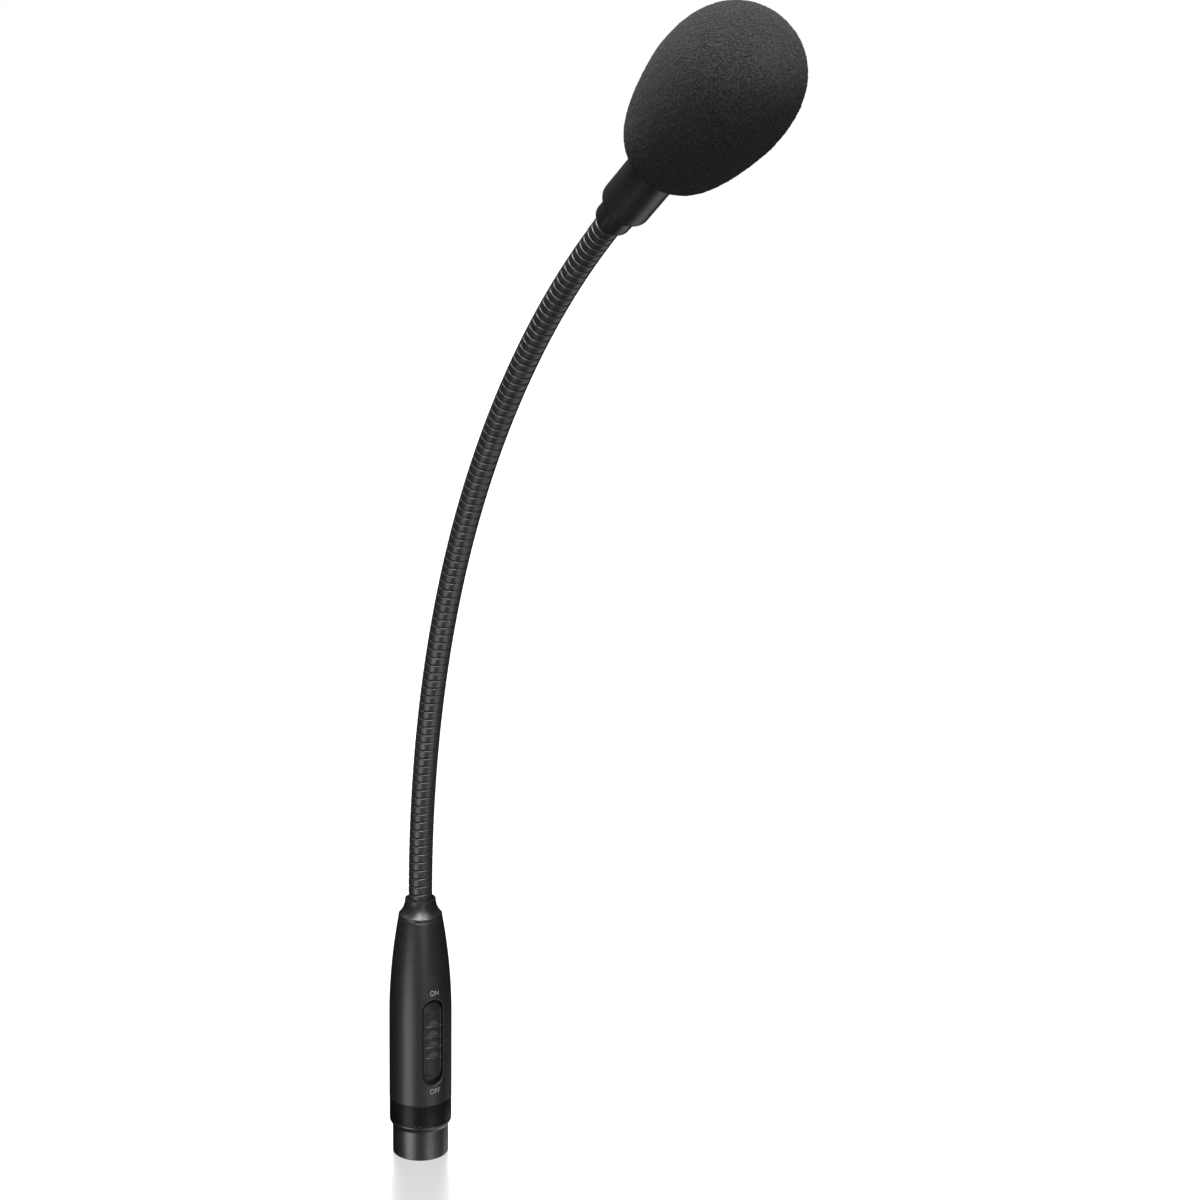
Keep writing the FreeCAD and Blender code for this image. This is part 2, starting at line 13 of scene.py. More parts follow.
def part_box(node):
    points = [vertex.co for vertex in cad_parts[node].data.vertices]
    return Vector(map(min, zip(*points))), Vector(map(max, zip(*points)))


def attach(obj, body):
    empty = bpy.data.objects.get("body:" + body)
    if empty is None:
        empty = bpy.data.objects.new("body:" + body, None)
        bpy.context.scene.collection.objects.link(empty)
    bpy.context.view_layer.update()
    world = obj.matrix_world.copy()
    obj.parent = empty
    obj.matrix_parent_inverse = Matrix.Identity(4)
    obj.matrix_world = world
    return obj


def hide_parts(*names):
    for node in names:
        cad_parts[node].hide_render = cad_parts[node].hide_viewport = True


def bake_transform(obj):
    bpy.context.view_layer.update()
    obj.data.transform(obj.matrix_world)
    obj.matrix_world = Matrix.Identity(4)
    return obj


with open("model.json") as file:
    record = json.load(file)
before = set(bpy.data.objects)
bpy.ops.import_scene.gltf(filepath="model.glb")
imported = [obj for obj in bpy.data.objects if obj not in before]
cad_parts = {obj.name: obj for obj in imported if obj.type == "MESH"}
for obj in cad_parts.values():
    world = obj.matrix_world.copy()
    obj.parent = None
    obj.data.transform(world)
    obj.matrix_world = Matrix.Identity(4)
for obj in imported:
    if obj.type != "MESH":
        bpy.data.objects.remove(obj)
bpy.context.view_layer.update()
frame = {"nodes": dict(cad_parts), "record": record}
MM = 0.001
NODES = frame["nodes"]


# ---- sizes read from the frame ----
def low_mm(node):
    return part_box(node)[0] / MM


def high_mm(node):
    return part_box(node)[1] / MM


SHELL_R = frame["record"]["mounts"][0]["dims"]["r_mm"]
BAND_R = high_mm("band_ring").x
BAND_LOW = low_mm("band_ring").z
BAND_TOP = high_mm("band_ring").z
BARREL_R = high_mm("handle_barrel").x
BARREL_LOW = low_mm("handle_barrel").z
BARREL_TOP = high_mm("handle_barrel").z
NOSE_TOP = high_mm("nose_cap").z
KNOB_LOW = low_mm("switch_knob").z
KNOB_TOP = high_mm("switch_knob").z
KNOB_HALF = high_mm("switch_knob").x
KNOB_R = -low_mm("switch_knob").y

# ---- sizes the frame's boxes don't give ----
SHELL_BORE_R = 8.2
SHELL_DEEP_R = 8.95
SHELL_STEP_Z = 10.3
SHELL_TOP = 27.0
SHOULDER_R = 10.53
KEY_HALF = 0.75
KEY_LOW = 1.2
KEY_TOP = 14.4
PIN_R = 1.2
PIN_CIRCLE_R = 4.2
PIN_TURNS = (90.0, 210.0, 330.0)
BAND_BORE_R = 9.0
BAND_LINE = 0.55
BAND_LINE_DEEP = 0.07
TAPER_START = 50.0
TAPER_RADIUS = 201.6
WALL = 1.4
SLOT_HALF = 3.85
SLOT_LOW = 27.8
SLOT_TOP = 58.9
FRAME_MARGIN = 2.2
BARREL_EASE = 0.12
NOSE_LOW = 80.6
NOSE_SPIGOT_R = 5.5
NOSE_EDGE_Z = 86.8
NOSE_HOLLOW_Z = 92.0
NOSE_LIP = 0.16
NOSE_RIM_R = 5.2
NOSE_HOLLOW_R = 7.5
NOSE_BORE_R = 4.2
NECK_R = 4.0
NECK_CORE_R = 2.6
TURN_PITCH = 2.954
TURN_GAP = 0.02
GROOVE_DEEP = 0.42
GROOVE_HALF = 0.33
STEPS_PER_TURN = 80
SEAM_TURN = 60.0
TURNS_IN_HANDLE = 7
TURNS_IN_COLLAR = 1.75
CABLE_R = 1.25
CABLE_IN_HEAD = 12.0
ARC_START_Z = 92.7
LOWER_ARC_R = 293.0
LOWER_ARC_LENGTH = 165.0
UPPER_ARC_R = 315.0
NECK_LENGTH = 289.0
HINGE_COUNT = 16
FIRST_HINGE = 9.0
TURNS_PER_LINK = 6
COLLAR_R = 5.45
HOUSING_R = 7.5
HOUSING_LOW = 4.6
HOUSING_TOP = 51.1
FOAM_R = 20.1
FOAM_LOW = 29.1
FOAM_LENGTH = 62.0
FOAM_WAIST = 0.556
FOAM_BORE_R = 7.6
FOAM_GRAIN_STEP = 0.38
FOAM_POLE_R = 7.0
FOAM_BORE_TOP = 56.7
FOAM_FOOT_BLUNT = (1.2, 1 / 4.87)
FOAM_NOSE_BLUNT = (2.5, 1 / 2.8)
FOAM_MOUTH = 0.006
RIB_TOP = 49.8
RIB_PITCH = 3.78
RIB_COUNT = 4
RIB_DEEP = 0.38
RIB_RAMP = 2.9
RIB_LIP = 0.3
RIB_BEAD = 0.24
RIB_BEAD_HALF = 0.26
KNOB_EDGE = 0.3
KNOB_RIM = 0.5
KNOB_DISH = 0.16
KNOB_DISH_RUN = 0.45
KNOB_BEVEL_Z = 54.7
KNOB_BEVEL_SLOPE = 0.36
KNOB_INNER_R = 9.3
CARRIER_INNER_R = 8.1
CARRIER_R = 8.65
CARRIER_HALF = 6.6
CARRIER_WINDOW_LOW = 39.5
CARRIER_WINDOW_TOP = 47.2
CARRIER_WINDOW_HALF = 2.0
LABEL_NARROW = 0.85
LABEL_TALL = 1.8
LABEL_X = 0.4
LABEL_SKIN = 0.04
ON_LOW = 60.4
OFF_LOW = 24.9

# ---- camera, light and floor ----
CAMERA_TURN = -28.94
CAMERA_LIFT = 14.37
CAMERA_ROLL = 0.861
CAMERA_LENS = 89.26
CAMERA_AWAY = 978.96
CAMERA_TARGET = (51.75, -28.62, 196.83)
LIGHT_TARGET = Vector((0, -0.03, 0.2))
LIGHT_AWAY = 1.0
SOFTBOXES = {
    # name: azimuth, elevation, width, height, watts
    "front_high": (-34, 45, 0.34, 0.5, 12.0),
    "right_high": (10, 45, 0.34, 0.5, 5.0),
    "top_left": (-70, 70, 0.34, 0.34, 13.0),
    "top_right": (10, 70, 0.34, 0.34, 10.0),
    "front_strip": (-10, 5, 0.34, 0.9, 2.0),
    "front_low": (16, -46, 0.4, 0.4, 1.4),
    "left_low": (-73, -33, 0.5, 0.6, 3.9),
    "right_low": (45, -58, 0.6, 0.6, 1.3),
    "back_low": (112, -50, 0.5, 0.5, 0.9),
    "back_high": (-135, 40, 0.4, 0.4, 2.0),
}
WORLD_STRENGTH = 0.12
WORLD_FADE = (-0.35, 0.45)
FLOOR_R = 2500.0
FLOOR_TOP = -0.05
FLOOR_BOTTOM = -4.0
FLOOR_GLOW = 0.64
CARD_R = 2600.0
CARD_THICK = 10.0
CARD_LOW = -100.0
CARD_TOP = 9000.0
CARD_GLOW = 3.2


# ---- mesh helpers ----
def new_mesh(name, points, faces, sharp=35.0, place=None):
    """A mesh object from points in millimetres, smooth but for edges over the sharp angle."""
    mesh = bpy.data.meshes.new(name)
    if place is not None:
        points = [place @ Vector(p) for p in points]
    mesh.from_pydata([Vector(p) * MM for p in points], [], faces)
    mesh.validate()
    mesh.shade_smooth()
    if sharp is not None:
        mesh.set_sharp_from_angle(angle=math.radians(sharp))
    obj = bpy.data.objects.new(name, mesh)
    bpy.context.scene.collection.objects.link(obj)
    return obj


def eased(outline, radius, steps=4):
    """A closed outline with each corner rounded, by one radius or a list of them."""
    count = len(outline)
    radii = radius if isinstance(radius, (list, tuple)) else [radius] * count
    rounded = []
    for k, corner in enumerate(outline):
        here = Vector(corner)
        before = Vector(outline[k - 1]) - here
        after = Vector(outline[(k + 1) % count]) - here
        turn = before.angle(after, 0.0)
        if radii[k] <= 0 or turn < 0.02 or turn > math.pi - 0.02:
            rounded.append(tuple(here))
            continue
        room = min(radii[k] / math.tan(turn / 2), 0.45 * before.length, 0.45 * after.length)
        bend = room * math.tan(turn / 2)
        middle = (before.normalized() + after.normalized()).normalized()
        centre = here + middle * (bend / math.sin(turn / 2))
        first = here + before.normalized() * room - centre
        last = here + after.normalized() * room - centre
        sweep = first.angle_signed(last)
        for step in range(steps + 1):
            spot = first.copy()
            spot.rotate(Matrix.Rotation(-sweep * step / steps, 2))
            rounded.append(tuple(centre + spot))
    return rounded


def lathe(name, outline, segments=96, sharp=35.0, place=None):
    """Turn a closed outline of (radius, height) points about the local Z axis."""
    points = []
    rings = []
    for radius, height in outline:
        if radius < 1e-6:
            rings.append([len(points)] * segments)
            points.append((0.0, 0.0, height))
            continue
        ring = []
        for k in range(segments):
            turn = 2 * math.pi * k / segments
            ring.append(len(points))
            points.append((radius * math.cos(turn), radius * math.sin(turn), height))
        rings.append(ring)
    faces = []
    for low, high in zip(rings, rings[1:] + rings[:1]):
        if low[0] == low[1] and high[0] == high[1]:
            continue
        for k in range(segments):
            n = (k + 1) % segments
            corners = []
            for index in (low[k], low[n], high[n], high[k]):
                if index not in corners:
                    corners.append(index)
            faces.append(corners)
    return new_mesh(name, points, faces, sharp, place)


def arc_points(centre, radius, start, end, steps):
    """Points along a circle in (radius, height), from one angle to another in degrees."""
    found = []
    for step in range(steps + 1):
        angle = math.radians(start + (end - start) * step / steps)
        found.append((centre[0] + radius * math.cos(angle), centre[1] + radius * math.sin(angle)))
    return found


def finish_piece(piece, body, slot, material, *nodes):
    """The piece's body, finish and the CAD nodes it stands for."""
    piece.data.materials.append(material)
    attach(piece, body)
    if nodes:
        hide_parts(*nodes)


# ---- the neck's centre line ----
def neck_tilt(s):
    """Lean from the vertical, in radians, at the distance s up the neck."""
    lower = min(max(s, 0.0), LOWER_ARC_LENGTH) / LOWER_ARC_R
    upper = max(min(s, NECK_LENGTH) - LOWER_ARC_LENGTH, 0.0) / UPPER_ARC_R
    return lower + upper


def neck_point(s):
    """The centre line: straight in the handle, then two tangent arcs, then straight in the head."""
    if s <= 0:
        return Vector((0, 0, ARC_START_Z + s))
    if s > NECK_LENGTH:
        tilt = neck_tilt(NECK_LENGTH)
        along = Vector((0, -math.sin(tilt), math.cos(tilt)))
        return neck_point(NECK_LENGTH) + along * (s - NECK_LENGTH)
    bend = neck_tilt(min(s, LOWER_ARC_LENGTH))
    forward = LOWER_ARC_R * (1 - math.cos(bend))
    up = LOWER_ARC_R * math.sin(bend)
    if s > LOWER_ARC_LENGTH:
        end = neck_tilt(s)
        forward += UPPER_ARC_R * (math.cos(bend) - math.cos(end))
        up += UPPER_ARC_R * (math.sin(end) - math.sin(bend))
    return Vector((0, -forward, ARC_START_Z + up))


def across_neck(s, radius, turn):
    """A point at a radius and turn round the neck, at the distance s up it."""
    tilt = neck_tilt(s)
    side = Vector((1, 0, 0)) * (radius * math.cos(turn))
    back = Vector((0, math.cos(tilt), math.sin(tilt))) * (radius * math.sin(turn))
    return neck_point(s) + side + back


def hinge_place(number):
    return FIRST_HINGE + (number - 1) * TURNS_PER_LINK * TURN_PITCH


HEAD_TILT = neck_tilt(NECK_LENGTH)
HEAD_BASE = neck_point(NECK_LENGTH)
ON_HEAD = Matrix.Translation(HEAD_BASE) @ Matrix.Rotation(HEAD_TILT, 4, "X")


def link_ends(number):
    """The stretch of neck that skin 1, 2, ... covers, from mid-link to mid-link over its hinge."""
    half = TURNS_PER_LINK * TURN_PITCH / 2
    place = hinge_place(number)
    return place - half, place + half


# ---- neck ----
def turn_profile():
    """Section of one turn of the outer wire as (distance along, radius), from core to core."""
    half = TURN_PITCH / 2
    floor_r = NECK_R - GROOVE_DEEP
    side = [(TURN_GAP, NECK_CORE_R), (TURN_GAP, floor_r)]
    side += [(GROOVE_HALF - 0.07, NECK_R - 0.09), (GROOVE_HALF - 0.01, NECK_R - 0.035)]
    side += [(GROOVE_HALF + 0.06, NECK_R - 0.008), (GROOVE_HALF + 0.18, NECK_R)]
    mirrored = [(TURN_PITCH - along, radius) for along, radius in reversed(side)]
    return side + [(half, NECK_R + 0.004)] + mirrored


def wound_turns(name, start, turns):
    """Part of the neck's outer wire: a right-handed band with eased edges."""
    profile = turn_profile()
    wide = len(profile)
    steps = round(turns * STEPS_PER_TURN)
    points = []
    for step in range(steps + 1):
        rise = TURN_PITCH * (step / STEPS_PER_TURN - 1)
        turn = 2 * math.pi * step / STEPS_PER_TURN + math.radians(SEAM_TURN)
        for along, radius in profile:
            points.append(across_neck(start + rise + along, radius, turn))
    faces = [tuple(range(wide))]
    for step in range(steps):
        low = step * wide
        for k in range(wide):
            n = (k + 1) % wide
            faces.append((low + k, low + wide + k, low + wide + n, low + n))
    last = steps * wide
    faces.append(tuple(range(last + wide - 1, last - 1, -1)))
    return new_mesh(name, points, faces, 40.0)


def cable_run(name, start, end):
    """The microphone cable's jacket between two places on the neck."""
    around = 24
    rings = math.ceil(end - start)
    points = []
    for ring in range(rings + 1):
        s = start + (end - start) * ring / rings
        for k in range(around):
            points.append(across_neck(s, CABLE_R, 2 * math.pi * k / around))
    faces = [tuple(range(around - 1, -1, -1))]
    for ring in range(rings):
        low = ring * around
        for k in range(around):
            n = (k + 1) % around
            faces.append((low + k, low + n, low + around + n, low + around + k))
    faces.append(tuple(range(rings * around, (rings + 1) * around)))
    return new_mesh(name, points, faces, 60.0)


def across_hinge(piece, number):
    """Bake the piece's placement into its mesh. It works out its stretch over the hinge, a stiff turn in
    from each end, but does not bend the piece.
    """
    start, end = link_ends(number)
    stiff = TURN_PITCH + 0.05
    first = neck_point(start + stiff) * MM
    last = neck_point(end - stiff) * MM
    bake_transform(piece)


def build_neck(metal, jacket):
    for number in range(1, HINGE_COUNT + 1):
        start, end = link_ends(number)
        first = number == 1
        last = number == HINGE_COUNT
        below = TURNS_IN_HANDLE if first else 0
        above = TURNS_IN_COLLAR if last else 0
        turns = below + TURNS_PER_LINK + above
        skin = wound_turns("neck_turns_%02d" % number, start - below * TURN_PITCH, turns)
        skin.data.materials.append(metal)
        own = ["neck_segment_%02d" % number]
        if first:
            own.append("neck_segment_00")
        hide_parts(*own)
        across_hinge(skin, number)
        run_start = low_mm("neck_cable").z - ARC_START_Z if first else start
        run_end = NECK_LENGTH + CABLE_IN_HEAD if last else end
        run = cable_run("neck_cable_%02d" % number, run_start, run_end)
        run.data.materials.append(jacket)
        if first:
            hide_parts("neck_cable")
        across_hinge(run, number)


# ---- handle ----
def taper_r(z):
    rise = max(z - TAPER_START, 0.0)
    return BARREL_R - (TAPER_RADIUS - math.sqrt(TAPER_RADIUS ** 2 - rise ** 2))


def spread(low, high, count):
    return [low + (high - low) * k / count for k in range(count + 1)]


class PiercedTube:
    """A tube wall in quads that follow its surface, with oblong windows cut straight through.

    Column 0 faces -Y and columns count anticlockwise seen from above. A window is (turn in
    degrees, half its width, lowest and highest point, columns each side that its frame takes)."""

    def __init__(self, columns, rows, outer_r, inner_r, windows, fillet):
        self.columns = columns
        self.rows = rows
        self.outer_r = outer_r
        self.inner_r = inner_r
        self.windows = windows
        self.fillet = fillet
        self.points = []
        self.faces = []

    def sheet(self, radius_at):
        grid = []
        for z in self.rows:
            ring = []
            for k in range(self.columns):
                turn = 2 * math.pi * k / self.columns
                radius = radius_at(z)
                ring.append(len(self.points))
                self.points.append((radius * math.sin(turn), -radius * math.cos(turn), z))
            grid.append(ring)
        return grid

    def frame_rows(self, window):
        """The rows just below and just above a window."""
        _, _, low, top, _ = window
        margin = 0.5 * min(FRAME_MARGIN, low - self.rows[0], self.rows[-1] - top)
        low_row = max(r for r, z in enumerate(self.rows) if z <= low - margin)
        top_row = min(r for r, z in enumerate(self.rows) if z >= top + margin)
        return low_row, top_row

    def open_at(self, row, column):
        for window in self.windows:
            low_row, top_row = self.frame_rows(window)
            middle = round(window[0] / 360 * self.columns)
            away = (column - middle + window[4]) % self.columns
            if low_row <= row < top_row and away < 2 * window[4]:
                return True
        return False

    def rim(self, grid, window):
        """The edge left round a window, anticlockwise seen from outside."""
        low_row, top_row = self.frame_rows(window)
        middle = round(window[0] / 360 * self.columns)
        across = [(middle + k) % self.columns for k in range(-window[4], window[4] + 1)]
        loop = [grid[low_row][c] for c in across]
        loop += [grid[r][across[-1]] for r in range(low_row + 1, top_row)]
        loop += [grid[top_row][c] for c in reversed(across)]
        loop += [grid[r][across[0]] for r in range(top_row - 1, low_row, -1)]
        return loop

    def outline(self, rim, window, grow, radius_at, deep):
        """A ring of new points round the window, matched one to one with its rim."""
        turn, half, low, top, _ = window
        spin = Matrix.Rotation(math.radians(turn), 3, "Z")
        unspin = spin.inverted()
        ring = []
        for index in rim:
            local = unspin @ Vector(self.points[index])
            centre = Vector((0, min(max(local.z, low + half), top - half)))
            away = (Vector((local.x, local.z)) - centre).normalized()
            spot = centre + away * (half + grow)
            radius = radius_at(spot.y) - deep
            ring.append(len(self.points))
            front = Vector((spot.x, -math.sqrt(radius ** 2 - spot.x ** 2), spot.y))
            self.points.append(tuple(spin @ front))
        return ring

    def build(self, name, sharp=40.0, place=None):
        outer = self.sheet(self.outer_r)
        inner = self.sheet(self.inner_r)
        faces = self.faces
        for row in range(len(self.rows) - 1):
            for column in range(self.columns):
                if self.open_at(row, column):
                    continue
                n = (column + 1) % self.columns
                out_low, out_high = outer[row], outer[row + 1]
                in_low, in_high = inner[row], inner[row + 1]
                faces.append((out_low[column], out_low[n], out_high[n], out_high[column]))
                faces.append((in_low[column], in_high[column], in_high[n], in_low[n]))
        for column in range(self.columns):
            n = (column + 1) % self.columns
            faces.append((outer[0][column], inner[0][column], inner[0][n], outer[0][n]))
            faces.append((outer[-1][column], outer[-1][n], inner[-1][n], inner[-1][column]))
        for window in self.windows:
            rim = self.rim(outer, window)
            loops = [rim]
            loops.append(self.outline(rim, window, self.fillet * 1.8, self.outer_r, 0.0))
            for step in range(6):
                angle = math.radians(90 * step / 5)
                grow = self.fillet * (1 - math.sin(angle))
                deep = self.fillet * (1 - math.cos(angle))
                loops.append(self.outline(rim, window, grow, self.outer_r, deep))
            loops.append(self.outline(rim, window, 0.0, self.inner_r, 0.0))
            loops.append(self.rim(inner, window))
            for one, two in zip(loops, loops[1:]):
                for k in range(len(one)):
                    n = (k + 1) % len(one)
                    faces.append((one[k], one[n], two[n], two[k]))
        return new_mesh(name, self.points, faces, sharp, place)


def build_barrel(metal):
    """The tapered tube with its switch slot."""
    below_slot = SLOT_LOW - 1.1
    above_slot = SLOT_TOP + 1.1
    rows = [BARREL_LOW] + spread(BARREL_LOW + BARREL_EASE, below_slot, 8)
    rows += spread(below_slot, above_slot, 60)[1:]
    rows += spread(above_slot, BARREL_TOP - BARREL_EASE / 2, 36)[1:] + [BARREL_TOP]

    def outer_r(z):
        if z <= BARREL_LOW:
            return BARREL_R - BARREL_EASE
        if z >= BARREL_TOP:
            return taper_r(BARREL_TOP) - 0.05
        return taper_r(z)

    slot = (0.0, SLOT_HALF, SLOT_LOW, SLOT_TOP, 13)
    tube = PiercedTube(192, rows, outer_r, lambda z: taper_r(z) - WALL, [slot], 0.3)
    barrel = tube.build("handle_barrel_shell")
    finish_piece(barrel, "handle", "barrel_metal", metal, "handle_barrel")


def build_band(gloss):
    """The plain dark ring above the plug, with a fine turned line near its lower edge."""
    low = BAND_LOW
    top = BAND_TOP
    line = low + BAND_LINE
    line_r = BAND_R - BAND_LINE_DEEP
    outline = [(BAND_BORE_R, low), (BAND_R, low), (BAND_R, line), (line_r, line + 0.08)]
    outline += [(line_r, line + 0.2), (BAND_R, line + 0.28)]
    outline += [(BAND_R, top - 0.1), (BAND_R - 0.1, top), (BAND_BORE_R, top)]
    radii = [0, 0.12, 0.03, 0.03, 0.03, 0.03, 0.05, 0.05, 0]
    ring = lathe("band_ring_shell", eased(outline, radii, 3), 160, 40.0)
    finish_piece(ring, "handle", "band_gloss", gloss, "band_ring")


def build_nose(metal):
    """The hollow cone at the top of the handle, with the rim round the neck."""
    base_r = taper_r(BARREL_TOP)
    base_z = BARREL_TOP + 0.05
    centre = (NOSE_RIM_R + NOSE_HOLLOW_R, NOSE_HOLLOW_Z)
    edge_turn = math.degrees(math.asin((NOSE_HOLLOW_Z - NOSE_EDGE_Z) / NOSE_HOLLOW_R))
    cone = arc_points(centre, -NOSE_HOLLOW_R, edge_turn, 0.0, 16)
    outline = [(NOSE_SPIGOT_R, NOSE_LOW), (NOSE_SPIGOT_R, base_z), (base_r - 0.06, base_z)]
    outline += [(base_r, base_z + 0.07), (cone[0][0] + 0.1, NOSE_EDGE_Z - 0.12)]
    outline += cone
    outline += [(NOSE_RIM_R, NOSE_TOP - NOSE_LIP), (NOSE_RIM_R - 0.05, NOSE_TOP - 0.05)]
    outline += [(NOSE_RIM_R - NOSE_LIP, NOSE_TOP), (NOSE_BORE_R + NOSE_LIP, NOSE_TOP)]
    outline += [(NOSE_BORE_R + 0.05, NOSE_TOP - 0.05), (NOSE_BORE_R, NOSE_TOP - NOSE_LIP)]
    outline += [(NOSE_BORE_R, NOSE_LOW)]
    cap = lathe("nose_cap_shell", outline, 144, 32.0)
    finish_piece(cap, "handle", "nose_metal", metal, "nose_cap")


# ---- plug ----
def build_plug(metal, plastic, pin_metal):
    shoulder_top = BAND_LOW - 0.05
    outline = [(SHELL_BORE_R, 0.0), (SHELL_R, 0.0), (SHELL_R, SHELL_STEP_Z)]
    outline += [(SHOULDER_R - 0.1, BAND_LOW - 0.75), (SHOULDER_R, BAND_LOW - 0.5)]
    outline += [(SHOULDER_R, shoulder_top), (SHELL_DEEP_R, shoulder_top)]
    outline += [(SHELL_DEEP_R, SHELL_TOP), (SHELL_BORE_R, SHELL_TOP)]
    radii = [0.3, 0.35, 0.6, 0.25, 0.1, 0, 0, 0, 0]
    shell = lathe("xlr_shell_tube", eased(outline, radii, 5), 144, 40.0)
    finish_piece(shell, "handle", "plug_metal", metal, "xlr_shell")
    key_outline = [(-KEY_HALF, KEY_LOW), (KEY_HALF, KEY_LOW), (KEY_HALF, KEY_TOP), (-KEY_HALF, KEY_TOP)]
    points = []
    for x, z in key_outline:
        points.append((x, -8.35, z))
    for x, z in key_outline:
        points.append((x * 0.8, -7.7, z + (0.3 if z == KEY_LOW else 0.0)))
    faces = [(0, 1, 5, 4), (1, 2, 6, 5), (2, 3, 7, 6), (3, 0, 4, 7), (4, 5, 6, 7), (3, 2, 1, 0)]
    key = new_mesh("xlr_shell_key", points, faces, 30.0)
    finish_piece(key, "handle", "plug_metal", metal)

    insert_low = low_mm("xlr_insert").z
    insert_top = high_mm("xlr_insert").z
    outline = [(0, insert_low), (7.2, insert_low), (7.2, insert_low + 0.5), (8.15, insert_low + 0.5)]
    outline += [(8.15, insert_top), (0, insert_top)]
    insert = lathe("xlr_insert_block", eased(outline, [0, 0.25, 0.1, 0.1, 0.2, 0], 3), 120, 40.0)
    finish_piece(insert, "handle", "plug_plastic", plastic, "xlr_insert")
    tip_z = low_mm("xlr_pins").z
    boss_low = insert_low - 0.35
    boss_top = insert_low + 0.2
    for number, turn in enumerate(PIN_TURNS, 1):
        angle = math.radians(turn)
        place = Matrix.Translation((PIN_CIRCLE_R * math.cos(angle), PIN_CIRCLE_R * math.sin(angle), 0))
        boss = [(PIN_R, boss_low), (1.75, boss_low), (1.75, boss_top), (PIN_R, boss_top)]
        collar = lathe("xlr_pin_boss_%d" % number, eased(boss, [0, 0.15, 0, 0], 3), 40, 40.0, place)
        finish_piece(collar, "handle", "plug_plastic", plastic)
        outline = arc_points((0, tip_z + PIN_R), PIN_R, -90.0, 0.0, 8)
        outline += [(PIN_R, 28.0), (0.85, 28.0), (0.85, 26.0), (0, 26.0)]
        pin = lathe("xlr_pin_%d" % number, outline, 40, 40.0, place)
        finish_piece(pin, "handle", "contact_metal", pin_metal, *(["xlr_pins"] if number == 1 else []))


# ---- switch ----
def knob_depth(x, z):
    """How far the thumb slide's face lies below its highest surface."""
    half = KNOB_HALF
    centre = Vector((0, min(max(z, KNOB_LOW + half), KNOB_TOP - half)))
    inside = half - (Vector((x, z)) - centre).length
    depth = 0.0
    if inside < KNOB_EDGE:
        depth += KNOB_EDGE - math.sqrt(max(KNOB_EDGE ** 2 - (KNOB_EDGE - inside) ** 2, 0.0))
    dish = min(max((inside - KNOB_RIM) / KNOB_DISH_RUN, 0.0), 1.0)
    depth += KNOB_DISH * dish * dish * (3 - 2 * dish)
    depth = max(depth, (z - KNOB_BEVEL_Z) * KNOB_BEVEL_SLOPE)
    if inside > KNOB_RIM:
        bow = KNOB_R - math.sqrt(KNOB_R ** 2 - x ** 2)
        for k in range(RIB_COUNT):
            above = z - (RIB_TOP - k * RIB_PITCH)
            cut = RIB_DEEP - (above / RIB_RAMP if above > 0 else -above / RIB_LIP) * RIB_DEEP
            depth = max(depth, cut - bow)
            depth -= RIB_BEAD * max(1 - abs(above + RIB_LIP + RIB_BEAD_HALF) / RIB_BEAD_HALF, 0.0)
    return depth


def build_knob(plastic):
    """The curved thumb slide: rounded edge, shallow dish, sloped top end, saw-tooth grooves with beads."""
    columns = 56
    rows = 420
    length = KNOB_TOP - KNOB_LOW
    first = 0.012
    points = []
    grid = []
    for row in range(rows + 1):
        share = 0.5 - 0.5 * math.cos(math.pi * (first + (1 - 2 * first) * row / rows))
        z = KNOB_LOW + length * min(max(share, 0.0004), 0.9996)
        past = max(KNOB_LOW + KNOB_HALF - z, z - (KNOB_TOP - KNOB_HALF), 0.0)
        wide = math.sqrt(max(KNOB_HALF ** 2 - past ** 2, 0.0))
        line = []
        for column in range(columns + 1):
            x = wide * math.sin(math.pi / 2 * (2 * column / columns - 1))
            radius = KNOB_R - knob_depth(x, z)
            line.append(len(points))
            points.append((x, -math.sqrt(radius ** 2 - x ** 2), z))
        grid.append(line)
    front = len(points)
    for x, _, z in list(points):
        points.append((x, -math.sqrt(KNOB_INNER_R ** 2 - x ** 2), z))
    faces = []
    for row in range(rows):
        for column in range(columns):
            a, b = grid[row][column], grid[row][column + 1]
            c, d = grid[row + 1][column + 1], grid[row + 1][column]
            faces.append((a, b, c, d))
            faces.append((front + a, front + d, front + c, front + b))
    edge = [grid[0][k] for k in range(columns)] + [grid[r][columns] for r in range(rows)]
    edge += [grid[rows][k] for k in range(columns, 0, -1)] + [grid[r][0] for r in range(rows, 0, -1)]
    for k in range(len(edge)):
        one, two = edge[k], edge[(k + 1) % len(edge)]
        faces.append((one, front + one, front + two, two))
    knob = new_mesh("switch_thumb_slide", points, faces, 50.0)
    finish_piece(knob, "switch", "knob_plastic", plastic, "switch_knob")


